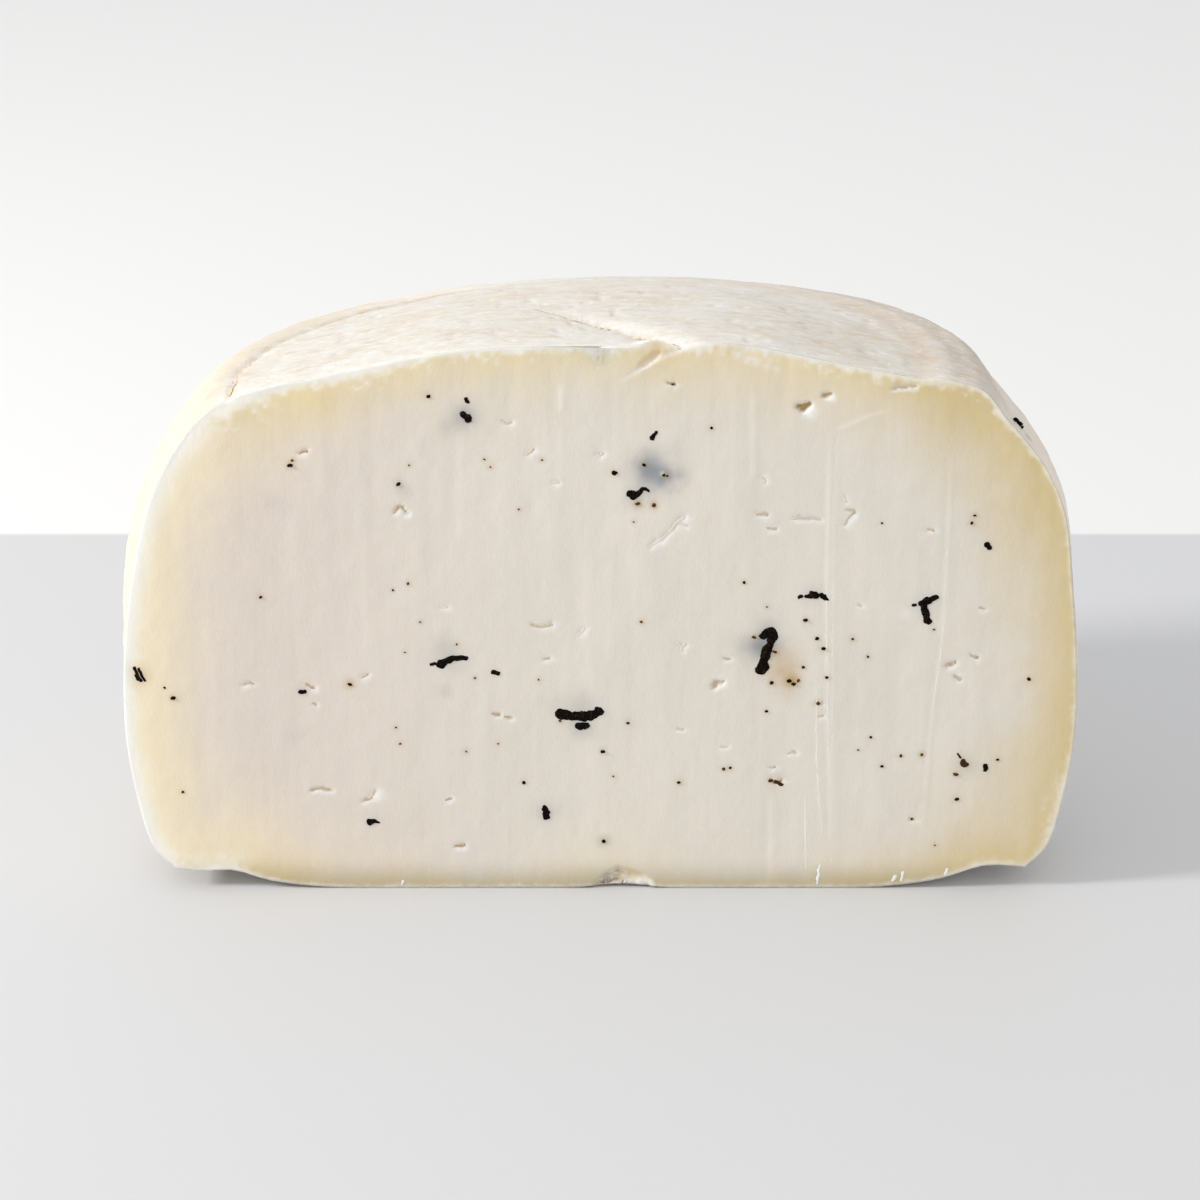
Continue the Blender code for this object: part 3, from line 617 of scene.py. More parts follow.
def cut_edge_line(rows):
    """The closed outline of the cut as (x, z), from the base's middle to the right and round."""
    outline = wheel_outline(*EDGE_LINE_ROWS)
    sides = wheel_side(outline, EDGE_LINE_ROWS[0] + EDGE_LINE_ROWS[1], np.array([[0.0, math.pi]]))
    loop = np.vstack([sides[:, 0], sides[::-1, 1]])[:, [0, 2]]
    return even_line(loop, rows)


def stretched_grid(bottom, top, left, right):
    """Fill the area between four edges with a grid, by blending opposite edges."""
    across = np.linspace(0.0, 1.0, len(bottom))[None, :, None]
    up = np.linspace(0.0, 1.0, len(left))[:, None, None]
    blend = (1 - up) * bottom[None] + up * top[None]
    blend = blend + (1 - across) * left[:, None] + across * right[:, None]
    corners = (1 - across) * (1 - up) * bottom[0] + across * (1 - up) * bottom[-1]
    corners = corners + (1 - across) * up * top[0] + across * up * top[-1]
    return blend - corners


# Noise and distances


NOISE_CELLS = 64
OUTLINE_POINTS = 900
DISTANCE_PARTS = 24


def soft_noise(points, size, seed):
    """Random values from 0 to 1 on a lattice of cells of that size, blended by ease between."""
    table = np.random.default_rng(seed).random((NOISE_CELLS,) * 3)
    place = points / np.broadcast_to(np.asarray(size, float), (3,))
    cell = np.floor(place).astype(int)
    blend = ease(place - cell)
    total = 0.0
    for corner in np.ndindex(2, 2, 2):
        index = (cell + corner) % NOISE_CELLS
        weight = np.prod(np.where(corner, blend, 1.0 - blend), axis=-1)
        total = total + weight * table[index[..., 0], index[..., 1], index[..., 2]]
    return total


def layered_noise(points, size, seed, layers=3):
    """Soft noise plus finer layers, each half the size and height: about -1 to 1 round 0."""
    size = np.broadcast_to(np.asarray(size, float), (3,))
    layer = (0.5**k * (soft_noise(points, size * 0.5**k, seed + k) - 0.5) for k in range(layers))
    return 2.0 * sum(layer)


def line_distance(x, z, line_mm):
    """Distance from each point to the nearest of a line's straight spans."""
    line = np.array(line_mm) * MM
    nearest = np.full(x.shape, np.inf)
    for start, end in zip(line[:-1], line[1:]):
        span = end - start
        share = ((x - start[0]) * span[0] + (z - start[1]) * span[1]) / max(float(span @ span), 1e-12)
        share = np.clip(share, 0.0, 1.0)
        off = np.hypot(x - start[0] - share * span[0], z - start[1] - share * span[1])
        nearest = np.minimum(nearest, off)
    return nearest


def outline_distance(x, z, loop):
    """Distance from each point of the face to the nearest point of the cut's outline."""
    places = np.stack([x.ravel(), z.ravel()], axis=-1)
    parts = np.array_split(places, DISTANCE_PARTS)
    nearest = [np.sqrt(((part[:, None] - loop[None]) ** 2).sum(-1).min(1)) for part in parts]
    return np.concatenate(nearest).reshape(x.shape)


# Meshes


def grid_faces(index):
    """Quads between neighbouring points of a grid; where a side has closed up, a triangle."""
    quads = np.stack([index[:-1, :-1], index[:-1, 1:], index[1:, 1:], index[1:, :-1]], axis=-1)
    quads = quads.reshape(-1, 4)
    repeats = quads == np.roll(quads, -1, axis=1)
    count = repeats.sum(axis=1)
    return [quads[count == 0], quads[count == 1][~repeats[count == 1]].reshape(-1, 3)]


def used_only(points, faces):
    """Drop the points that no face uses, and number the rest again."""
    used, number = np.unique(np.concatenate([group.ravel() for group in faces]), return_inverse=True)
    starts = np.cumsum([0] + [group.size for group in faces])
    groups = [number[a:b].reshape(group.shape) for a, b, group in zip(starts, starts[1:], faces)]
    return points[used], groups


def make_piece(name, points, faces, finish, marks=None):
    """A closed piece from arrays, with its faces outwards and its marks as point attributes."""
    faces = [group for group in faces if group.size]
    mesh = bpy.data.meshes.new(name)
    mesh.vertices.add(len(points))
    mesh.vertices.foreach_set("co", points.astype(np.float32).ravel())
    corners = np.concatenate([group.ravel() for group in faces])
    counts = np.concatenate([np.full(len(group), group.shape[1]) for group in faces])
    mesh.loops.add(len(corners))
    mesh.loops.foreach_set("vertex_index", corners.astype(np.int32))
    mesh.polygons.add(len(counts))
    mesh.polygons.foreach_set("loop_start", np.concatenate([[0], np.cumsum(counts)[:-1]]).astype(np.int32))
    mesh.update(calc_edges=True)
    work = bmesh.new()
    work.from_mesh(mesh)
    bmesh.ops.recalc_face_normals(work, faces=work.faces)
    work.to_mesh(mesh)
    work.free()
    for mark, values in (marks or {}).items():
        layer = mesh.attributes.new(mark, "FLOAT", "POINT")
        layer.data.foreach_set("value", np.clip(values, 0.0, 1.0).astype(np.float32).ravel())
    mesh.materials.append(finish)
    mesh.shade_smooth()
    piece = bpy.data.objects.new(name, mesh)
    bpy.context.scene.collection.objects.link(piece)
    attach(piece, BODY)
    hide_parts(NODE)
    return piece


# Marks on the cut face


def face_wave(x, z):
    """The knife's slow wave, none at the edges, and the unevenness of the paste; positive is in."""
    across = np.clip((x + WIDEST) / (2 * WIDEST), 0.0, 1.0)
    up = np.clip(z / TOP_HEIGHT, 0.0, 1.0)
    wave = np.sin(x / KNIFE_WAVE_X) * np.cos(z / KNIFE_WAVE_Z)
    places = np.stack([x, np.zeros_like(x), z], axis=-1)
    uneven = FACE_BROAD * layered_noise(places, FACE_BROAD_SIZE, SEEDS["broad"], 2)
    uneven = uneven + FACE_LUMPS * layered_noise(places, FACE_LUMPS_SIZE, SEEDS["lumps"], 2)
    return KNIFE_WAVE * wave * np.sin(math.pi * across) * np.sin(math.pi * up) + uneven


def hollow_depth(x, z, hollow):
    """Depth of a rounded hollow: half of a stretched ball, turned in the plane of the face."""
    turn = math.radians(hollow["turn"])
    off_x, off_z = x - hollow["at"][0], z - hollow["at"][1]
    along = off_x * math.cos(turn) - off_z * math.sin(turn)
    across = off_x * math.sin(turn) + off_z * math.cos(turn)
    inside = 1.0 - (along / hollow["radii"][0]) ** 2 - (across / hollow["radii"][2]) ** 2
    return hollow["radii"][1] * np.sqrt(np.maximum(inside, 0.0))


def chip_share(x, z):
    """1 well inside the chip in the base and 0 outside it, with a slope along its outline."""
    chip_x, chip_z = np.array(CHIP_MM).T * MM
    top = np.interp(x, chip_x, chip_z, left=-CHIP_SLOPE, right=-CHIP_SLOPE)
    return ease((top - z) / CHIP_SLOPE)


def knife_marks(x, z):
    """Depth of the knife's lines, and how white their burrs are, a painted highlight."""
    depth, white = np.zeros(x.shape), np.zeros(x.shape)
    for line_mm, groove, burr, width in KNIFE_LINES_MM:
        line = np.array(line_mm[::-1]) * MM
        off = x - np.interp(z, line[:, 1], line[:, 0])
        end = KNIFE_FADE * (line[-1, 1] - line[0, 1])
        fade = ease((z - line[0, 1]) / end) * ease((line[-1, 1] - z) / end)
        depth = depth + fade * groove * MM * hump(off, 0.0, width * MM)
        depth = depth - fade * burr * MM * hump(off, 1.5 * width * MM, width * MM)
        # White on the burr beside the groove is a painted highlight
        white = white + fade * KNIFE_HIGHLIGHT * burr * hump(off, 1.2 * width * MM, width * MM)
    return depth, white


def crack_marks(x, z, seed):
    """Depth of the cracks and eyes, how tan they are inside (partly painted shade) and how white their lips
    are (painted highlight).
    """
    places = np.stack([x, np.zeros_like(x), z], axis=-1)
    x = x + CRACK_RAGGED * layered_noise(places, CRACK_GRAIN, seed, 2)
    z = z + CRACK_RAGGED * layered_noise(places, CRACK_GRAIN, seed + 9, 2)
    depth, tan, white = np.zeros(x.shape), np.zeros(x.shape), np.zeros(x.shape)
    for line_mm, half_width, deep, tint in CRACKS_MM:
        share = FINE_SHARE if half_width < FINE_CRACK else 1.0
        off = line_distance(x, z, line_mm) / (half_width * MM)
        lip = half_width * MM + CRACK_LIP
        right = line_distance(x - 0.8 * lip, z + 0.6 * lip, line_mm) / lip
        inside = np.exp(-(off**4))
        depth = np.maximum(depth, share * deep * MM * inside)
        # The tan inside is partly painted shade in the slit
        tan = np.maximum(tan, share * tint * inside)
        # White to the lower right of each crack is a painted highlight on its lit lip
        white = np.maximum(white, 0.8 * np.exp(-(right**2)) * (1.0 - inside))
    return depth, tan, white


def stains(x, z, stains_mm, seed):
    """How strong the stains are: soft round spots with uneven edges."""
    places = np.stack([x, np.zeros_like(x), z], axis=-1)
    uneven = np.clip(1.0 + STAIN_UNEVEN * layered_noise(places, STAIN_GRAIN, seed), 0.7, 1.4)
    total = np.zeros(x.shape)
    for spot_x, spot_z, radius, strength in stains_mm:
        off = np.hypot(x - spot_x * MM, z - spot_z * MM) / (radius * MM)
        total = total + strength * np.exp(-((off * uneven) ** 2))
    return total


def on_each_side(x, z, sides):
    """The value of the nearest side of the cut: left, right, base or top."""
    value = np.where(x < 0, sides["left"], sides["right"])
    value = value + (sides["base"] - value) * ease(2.0 - z / RIM_BASE_Z)
    return value + (sides["top"] - value) * ease((z - RIM_TOP_Z) / RIM_TOP_BLEND + 0.5)


def rim_width(x, z):
    """Width of the white rim on the face at the places of the outline nearest to x and z."""
    width = on_each_side(x, z, RIM_MM)
    for at_x, at_z, reach, extra in RIM_WIDE_MM:
        width = width + extra * hump(np.hypot(x - at_x * MM, z - at_z * MM), 0.0, reach * MM)
    return width * MM


def margin_marks(x, z, edge, flat, settings):
    """Shares of the yellow margin, its painted shade, pink, the white rim and the foot's painted shade.

    The margin is a narrow band and a wide one, each e to the minus a power of the distance from
    the edge. It is widest at the sides and at the top right, and narrow along the base.
    """
    side = ease((np.abs(x) - MARGIN_SIDE_START) / MARGIN_SIDE_BLEND)
    low = ease((MARGIN_LOW - z) / MARGIN_LOW) * ease((MARGIN_LOW_HALF - np.abs(x)) / MARGIN_LOW_BLEND)
    corner = hump(np.hypot(x - MARGIN_CORNER[0], z - MARGIN_CORNER[1]), 0.0, MARGIN_CORNER_REACH)
    uneven = 1.0 + 0.30 * layered_noise(flat, MARGIN_GRAIN, SEEDS["margin"])
    reach = settings.margin_width * uneven * (0.72 + 0.34 * side - 0.42 * low + 0.45 * corner)
    narrow = np.exp(-((edge / (0.36 * reach)) ** 1.3))
    wide = np.exp(-((edge / reach) ** 2))
    # Painted shade: the margin darker and the white rim duller to the right, away from the lamp
    right = ease((x - SIDE_START) / SIDE_BLEND)
    high = 0.5 * ease((z - SHADE_HIGH) / SHADE_HIGH_BLEND)
    rough = on_each_side(x, z, RIM_ROUGH)
    ragged = np.clip(1.0 + rough * layered_noise(flat, RIM_GRAIN, SEEDS["rim"]), 0.4, 2.0)
    rim = (1.0 - 0.25 * right) * np.exp(-((edge * ragged / rim_width(x, z)) ** 2))
    return {
        "margin": 0.30 * narrow + 0.70 * wide + stains(x, z, YELLOW_PATCHES_MM, SEEDS["yellow"]),
        # Painted shade on the right and along the base, and a darker margin at the top
        "shade": np.maximum(np.maximum(right, high), ease((SHADE_LOW - z) / SHADE_LOW_BLEND)),
        "pink": ease((-x - SIDE_START) / SIDE_BLEND),
        "rim": rim,
        # Painted shade darkening the face along the base, less in the chip and the rim
        "foot": ease(1.0 - z / FOOT_SHADE) * (1.0 - 0.7 * np.maximum(chip_share(x, z), rim)),
    }


def face_relief(points, loop, settings):
    """Depth of the face below the knife's plane at each point, and its colour shares.

    The depth adds the slow wave, drag streaks down the face, a fine curd grain, the knife's
    lines, the cracks, the torn fold and the chip.
    """
    x, z = points[..., 0], points[..., 2]
    flat = points * (1.0, 0.0, 1.0)
    edge = outline_distance(x, z, loop)
    drag = FACE_DRAG * layered_noise(flat, FACE_DRAG_SIZE, SEEDS["drag"])
    curd = FACE_CURD * layered_noise(flat, FACE_CURD_SIZE, SEEDS["curd"], 2)
    lines, burr = knife_marks(x, z)
    specks = BLACK_SPECKS_MM + BROWN_SPECKS_MM
    halos = [(at_x, at_z, HALO_EXTRA + HALO_SHARE * width, HALO_STRENGTH) for at_x, at_z, width in specks]
    cracks, tan, lip = crack_marks(x, z, SEEDS["cracks"])
    tear = hollow_depth(x, z, FOLD_TEAR)
    chip = chip_share(x, z)
    facets = CHIP_STEP * np.round(CHIP_STEPS * layered_noise(flat, CHIP_STEP_SIZE, SEEDS["chip steps"], 2))
    facets = facets + CHIP_ROUGH * layered_noise(flat, CHIP_ROUGH_SIZE, SEEDS["chip"], 2)
    fold = line_distance(x, z, FOLD_CRACK_MM)
    fold_fade = ease((z - FOLD_CRACK_MM[-1][1] * MM) / (3.0 * MM) + 0.3)
    crack = FOLD_CRACK_DEEP * fold_fade * np.exp(-((fold / FOLD_CRACK_HALF) ** 4))
    small = settings.relief * (drag + curd + lines + cracks)
    depth = (face_wave(x, z) + small) * ease(edge / EDGE_CALM)
    depth = depth + tear + crack + chip * (CHIP_DEPTH + facets * MM)
    marks = margin_marks(x, z, edge, flat, settings)
    marks["grey"] = stains(x, z, GREY_STAINS_MM, SEEDS["grey"])
    marks["brown"] = stains(x, z, BROWN_STAINS_MM + halos, SEEDS["brown"])
    marks["tan"] = tan
    glow_x, glow_z, glow_reach, glow_strength = TEAR_GLOW_MM
    glow = glow_strength * hump(np.hypot(x - glow_x * MM, z - glow_z * MM), 0.0, glow_reach * MM)
    torn = np.maximum(0.8 * ease(tear / TEAR_SHADED), glow)
    marks["amber"] = np.maximum(torn, 0.40 * chip * ease(facets / CHIP_HIGH + 0.5))
    # White: painted highlights on burrs, crack lips and patches beside cracks, with white curd, the fold
    # crack and the chip's low facets
    white = np.maximum(burr, lip) + 0.7 * fold_fade * hump(fold, 0.0, FOLD_CRACK_WIDTH)
    white = white + stains(x, z, CURD_AND_HIGHLIGHT_PATCHES_MM, SEEDS["white"])
    marks["white"] = white + 0.7 * chip * ease(0.5 - facets / CHIP_HIGH)
    return depth, marks


# Materials


# Colours and tints that are fixed: on the paste, on the rind, and of the thin lines as pale,
# middle and dark. The curd white and the rind's dust also paint highlights; the crack colour and
# the dark of the lines partly paint shade
GRAIN_COLOUR = (0.66, 0.58, 0.47)
DRAWN_COLOUR = (0.92, 0.89, 0.84)
GREY_STAIN_COLOUR = (0.21, 0.245, 0.285)
BROWN_STAIN_COLOUR = (0.55, 0.35, 0.11)
AMBER_COLOUR = (0.85, 0.66, 0.38)
CURD_AND_HIGHLIGHT_COLOUR = (0.92, 0.90, 0.85)
CRACK_AND_SHADE_COLOUR = (0.56, 0.38, 0.16)
ROSY_TINT = (0.945, 0.905, 0.885)
SALLOW_TINT = (0.97, 0.93, 0.84)
CLUMP_COLOUR = (0.88, 0.87, 0.85)
DUST_AND_HIGHLIGHT_COLOUR = (0.90, 0.885, 0.85)
CREAM_TINT = (0.84, 0.785, 0.70)
WARM_COLOUR = (0.97, 0.85, 0.71)
RIND_GREY_COLOUR = (0.24, 0.26, 0.27)
PIT_COLOUR = (0.55, 0.45, 0.36)
CRUMB_COLOURS = ((0.98, 0.965, 0.93), (0.95, 0.90, 0.82))
# Face lines: pale for the knife's burrs as painted highlight, middle and dark for cracks, partly painted
# shade
FACE_LINE_COLOURS = ((0.86, 0.81, 0.72), (0.58, 0.49, 0.36), (0.40, 0.24, 0.10))
# Rind lines: the fold's dark line is painted shade in its crack
RIND_LINE_COLOURS = ((0.68, 0.53, 0.38), (0.52, 0.41, 0.32), (0.32, 0.26, 0.23))


def add_node(tree, kind, inputs=None, **settings):
    """A node of that kind, with its settings, and its inputs given a value or a link."""
    made = tree.nodes.new(kind)
    for name, value in settings.items():
        setattr(made, name, value)
    for name, value in (inputs or {}).items():
        if isinstance(value, bpy.types.NodeSocket):
            tree.links.new(value, made.inputs[name])
        else:
            made.inputs[name].default_value = value
    return made


def grain(tree, size_mm, detail=2.0, roughness=0.5, distortion=0.0):
    """Noise on the object's own coordinates, with cells of that size along x, y and z."""
    sizes = size_mm if isinstance(size_mm, tuple) else (size_mm,) * 3
    place = add_node(tree, "ShaderNodeTexCoord").outputs["Object"]
    scale = tuple(1.0 / (size * MM) for size in sizes)
    scaled = add_node(tree, "ShaderNodeMapping", {"Vector": place, "Scale": scale}).outputs[0]
    inputs = {"Vector": scaled, "Scale": 1.0, "Detail": detail, "Roughness": roughness}
    inputs["Distortion"] = distortion
    return add_node(tree, "ShaderNodeTexNoise", inputs).outputs[0]


def spread(tree, value, low, high, to_low=0.0, to_high=1.0):
    """Stretch a value from low..high to to_low..to_high, and keep it there."""
    inputs = {"Value": value, "From Min": low, "From Max": high, "To Min": to_low, "To Max": to_high}
    return add_node(tree, "ShaderNodeMapRange", inputs).outputs[0]


def maths(tree, operation, first, second):
    """One sum on two values."""
    return add_node(tree, "ShaderNodeMath", {0: first, 1: second}, operation=operation).outputs[0]


def mixed(tree, share, first, second, blend="MIX"):
    """Two colours mixed by share."""
    made = add_node(tree, "ShaderNodeMix", data_type="RGBA", blend_type=blend)
    for index, value in ((0, share), (6, first), (7, second)):
        if isinstance(value, bpy.types.NodeSocket):
            tree.links.new(value, made.inputs[index])
        else:
            made.inputs[index].default_value = value if index == 0 else (*value, 1.0)
    return made.outputs[2]


def mark(tree, name):
    """The share that the piece's point attribute of that name holds."""
    return add_node(tree, "ShaderNodeAttribute", attribute_name=name).outputs["Fac"]


def bumped(tree, height, distance_mm, strength, under=None):
    """A bump of that height, laid over another one if it is given."""
    inputs = {"Height": height, "Distance": distance_mm * MM, "Strength": strength}
    if under is not None:
        inputs["Normal"] = under
    return add_node(tree, "ShaderNodeBump", inputs).outputs[0]


def new_material(name, values):
    """A material with a Principled shader whose constant sockets are set."""
    made = bpy.data.materials.new(name)
    made.use_nodes = True
    tree = made.node_tree
    shader = tree.nodes["Principled BSDF"]
    for socket, value in values.items():
        shader.inputs[socket].default_value = value
    return made, tree, shader


def connect(tree, shader, links):
    """Link values to the shader's sockets by name."""
    for socket, value in links.items():
        tree.links.new(value, shader.inputs[socket])


def paste_material(settings):
    """Pale paste: yellow at its margin and pinker on the left, with painted shade on the margin's right,
    along the base and at the foot, stains, cracks partly in painted shade, and white lips of painted
    highlight.
    """
    made, tree, shader = new_material(
        "paste",
        {
            "Specular IOR Level": 0.3,
            "Subsurface Weight": 0.25,
            "Subsurface Radius": (1.0, 0.75, 0.5),
            "Subsurface Scale": 2.0 * MM,
        },
    )
    cloud = spread(tree, grain(tree, (12.0, 12.0, 20.0), 3.0), 0.35, 0.65)
    fine = spread(tree, grain(tree, (0.5, 0.5, 0.8), 3.0, 0.6), 0.35, 0.65)
    drawn = spread(tree, grain(tree, (2.2, 2.2, 40.0), 2.0), 0.40, 0.70)
    heart = mixed(tree, cloud, settings.heart_colour, settings.heart_cloud_colour)
    heart = mixed(tree, mark(tree, "pink"), heart, settings.pink_colour)
    # The margin takes painted shade on its right and along the base
    margin = mixed(tree, mark(tree, "shade"), settings.margin_colour, settings.margin_painted_shade_colour)
    colour = mixed(tree, mark(tree, "margin"), heart, margin)
    colour = mixed(tree, maths(tree, "MULTIPLY", fine, 0.05), colour, GRAIN_COLOUR)
    colour = mixed(tree, maths(tree, "MULTIPLY", drawn, 0.05), colour, DRAWN_COLOUR)
    colour = mixed(tree, mark(tree, "rim"), colour, settings.rim_colour)
    colour = mixed(tree, mark(tree, "grey"), colour, GREY_STAIN_COLOUR)
    colour = mixed(tree, mark(tree, "brown"), colour, BROWN_STAIN_COLOUR)
    colour = mixed(tree, mark(tree, "amber"), colour, AMBER_COLOUR)
    # White of painted highlights and of curd
    colour = mixed(tree, mark(tree, "white"), colour, CURD_AND_HIGHLIGHT_COLOUR)
    # Tan inside the cracks, partly painted shade
    colour = mixed(tree, mark(tree, "tan"), colour, CRACK_AND_SHADE_COLOUR)
    # Painted shade along the base
    colour = mixed(tree, mark(tree, "foot"), colour, settings.foot_painted_shade, "MULTIPLY")
    height = maths(tree, "ADD", fine, maths(tree, "MULTIPLY", grain(tree, 0.22, 2.0), 0.6))
    normal = bumped(tree, height, 0.02, 0.5)
    rough = spread(tree, grain(tree, (2.0, 2.0, 8.0), 2.0), 0.3, 0.7, 0.45, 0.58)
    connect(tree, shader, {"Base Color": colour, "Roughness": rough, "Normal": normal})
    return made


def rind_material(settings):
    """Thin bloomy rind: white mould over cream, with fibres along x and tan where it is worn, painted shade
    over the top and to its right, and a painted contact shadow under the foot.
    """
    made, tree, shader = new_material(
        "rind",
        {
            "Roughness": 0.86,
            "Specular IOR Level": 0.2,
            "Sheen Weight": 0.06,
            "Sheen Roughness": 0.5,
            "Subsurface Weight": 0.12,
            "Subsurface Radius": (1.0, 0.8, 0.6),
            "Subsurface Scale": 1.5 * MM,
        },
    )
    fibre = grain(tree, (4.0, 1.0, 1.0), 4.0, 0.65, 0.9)
    long_fibre = grain(tree, (11.0, 2.8, 2.8), 3.0, 0.55, 0.6)
    hair = spread(tree, grain(tree, (2.6, 0.45, 0.45), 3.0, 0.65, 1.0), 0.52, 0.72)
    patch = grain(tree, (14.0, 8.0, 9.0), 3.0, 0.5, 0.5)
    worn = maths(tree, "MULTIPLY", long_fibre, 0.45)
    worn = maths(tree, "ADD", maths(tree, "MULTIPLY", fibre, 0.55), worn)
    worn = spread(tree, worn, 0.42, 0.62)
    worn = maths(tree, "MULTIPLY", worn, spread(tree, patch, 0.3, 0.65, 0.3, 1.0))
    colour = mixed(tree, worn, settings.bloom_colour, settings.worn_colour)
    dome = mark(tree, "dome")
    # An even painted shade over the top
    colour = mixed(tree, dome, colour, settings.dome_painted_shade, "MULTIPLY")
    # Pink and painted shade on the right of the top
    colour = mixed(tree, mark(tree, "pink"), colour, settings.pink_and_shade_tint, "MULTIPLY")
    rosy = spread(tree, grain(tree, (4.5, 2.0, 2.0), 5.0, 0.66, 1.2), 0.46, 0.62)
    colour = mixed(tree, maths(tree, "MULTIPLY", rosy, dome), colour, ROSY_TINT, "MULTIPLY")
    sallow = spread(tree, grain(tree, (7.0, 3.0, 3.0), 5.0, 0.66, 1.2), 0.48, 0.64)
    colour = mixed(tree, maths(tree, "MULTIPLY", sallow, dome), colour, SALLOW_TINT, "MULTIPLY")
    clumps = spread(tree, grain(tree, (1.7, 1.1, 1.1), 4.0, 0.75, 0.5), 0.56, 0.68, 0.0, 0.6)
    colour = mixed(tree, maths(tree, "MULTIPLY", clumps, dome), colour, CLUMP_COLOUR)
    dust = spread(tree, grain(tree, 0.6, 3.0, 0.7), 0.42, 0.65, 0.45, 1.0)
    # Dust on the bloom; on the fold's lip it is a painted highlight
    colour = mixed(tree, maths(tree, "MULTIPLY", mark(tree, "bloom"), dust), colour, DUST_AND_HIGHLIGHT_COLOUR)
    colour = mixed(tree, mark(tree, "cream"), colour, CREAM_TINT, "MULTIPLY")
    colour = mixed(tree, mark(tree, "warm"), colour, WARM_COLOUR)
    hairs = maths(tree, "MULTIPLY", hair, maths(tree, "MULTIPLY", dome, 0.18))
    colour = mixed(tree, hairs, colour, settings.hair_colour)
    # Tan of the creases and patches, and the painted contact shadow under the foot
    tan = maths(tree, "MULTIPLY", mark(tree, "tan"), spread(tree, fibre, 0.3, 0.6, 0.45, 1.0))
    colour = mixed(tree, tan, colour, settings.tan_and_shadow_colour)
    colour = mixed(tree, mark(tree, "grey"), colour, RIND_GREY_COLOUR)
    pits = spread(tree, grain(tree, 0.7, 2.0, 0.5), 0.68, 0.76, 0.0, 0.30)
    colour = mixed(tree, pits, colour, PIT_COLOUR)
    height = maths(tree, "ADD", fibre, maths(tree, "MULTIPLY", grain(tree, 0.35, 3.0, 0.7), 0.5))
    normal = bumped(tree, height, 0.10, 0.8)
    connect(tree, shader, {"Base Color": colour, "Normal": normal})
    return made


def crumb_material(name, white, shade):
    """Dry white rind in crumbs, from white to a shade over half a millimetre."""
    made, tree, shader = new_material(
        name, {"Roughness": 0.9, "Specular IOR Level": 0.2, "Subsurface Weight": 0.2, "Subsurface Scale": MM}
    )
    uneven = spread(tree, grain(tree, 0.6, 3.0, 0.6), 0.35, 0.7)
    normal = bumped(tree, grain(tree, 0.25, 2.0), 0.05, 0.6)
    connect(tree, shader, {"Base Color": mixed(tree, uneven, white, shade), "Normal": normal})
    return made


def line_material(name, pale, middle, dark):
    """Inside of thin lines: from pale at a mark of 0, over a middle shade, to dark at 1."""
    made, tree, shader = new_material(name, {"Roughness": 0.8, "Specular IOR Level": 0.1})
    shade = mark(tree, "dark")
    colour = mixed(tree, spread(tree, shade, 0.0, 0.3), pale, middle)
    colour = mixed(tree, spread(tree, shade, 0.3, 1.0), colour, dark)
    uneven = spread(tree, grain(tree, 0.5, 2.0), 0.4, 0.7, 0.0, 0.4)
    connect(tree, shader, {"Base Color": mixed(tree, uneven, colour, pale)})
    return made


def truffle_material(settings):
    """Black truffle: nearly black, brown where it is thin, and finely warted."""
    made, tree, shader = new_material("truffle", {"Roughness": 0.6, "Specular IOR Level": 0.04})
    uneven = spread(tree, grain(tree, 0.4, 3.0, 0.6), 0.52, 0.68)
    colour = mixed(tree, uneven, settings.black_colour, settings.dark_brown_colour)
    colour = mixed(tree, mark(tree, "brown"), colour, settings.brown_colour)
    normal = bumped(tree, grain(tree, 0.25, 3.0, 0.6), 0.08, 0.8)
    connect(tree, shader, {"Base Color": colour, "Normal": normal})
    return made


# Pieces


# Rows and columns of the paste's face and back, and how far they lie inside the outline
EDGE_ROWS = 195
FACE_ROWS = 224
BACK_COLUMNS = 10
PASTE_INSET = 0.10 * MM
PASTE_BACK_INSET = 3.0 * MM

# Rows and columns of the rind, its thickness, and its rim that slopes back behind the paste
RIND_BASE_ROWS = 32
RIND_WALL_ROWS = 112
RIND_TOP_ROWS = 126
RIND_COLUMNS = 340
RIND_BACK_COLUMNS = 16
RIND_INSET = 2.2 * MM
RIND_RIM = 1.0 * MM
RIND_RIM_BACK = 0.5 * MM

# Wear of the rind: its mean depth, then its fibres, grain, hollows and pits, each with a depth
# and a size; there is none at the foot, and only a share of it at the cut
RIND_WORN = 0.28 * MM
FIBRE_DEPTH = 0.085 * MM
FIBRE_SIZE = (7.0 * MM, 1.3 * MM, 1.3 * MM)
WEAR_DEPTH = 0.05 * MM
WEAR_SIZE = (2.0 * MM, 1.5 * MM, 1.6 * MM)
HOLLOW_DEPTH = 0.16 * MM
HOLLOW_SIZE = (15.0 * MM, 9.0 * MM, 11.0 * MM)
PIT_DEPTH = 0.22 * MM
PIT_SIZE = 2.2 * MM
PIT_START = 0.74
PIT_BLEND = 0.2
RIND_FOOT = 4.0 * MM
RELIEF_AT_CUT = 0.3
RELIEF_REACH = 2.5 * MM

# Marks on the rind: how far its creases wander, and where it is tan, white, pink, cream and warm
CRACK_WANDER = 0.5 * MM
CRACK_WANDER_SIZE = 2.5 * MM
CREASE_ACROSS = 0.3
UNEVEN_SIZE = 3.0 * MM
OUTER_START = 0.5 * MM
OUTER_BLEND = 1.5 * MM
CREASE_TAN = {"centre": -0.2 * MM, "width": 0.9 * MM}
RIDGE_TAN = {"centre": 48.3 * MM, "width": 1.8 * MM}
FOLD_TAN = {"centre": -0.1 * MM, "width": 0.4 * MM}
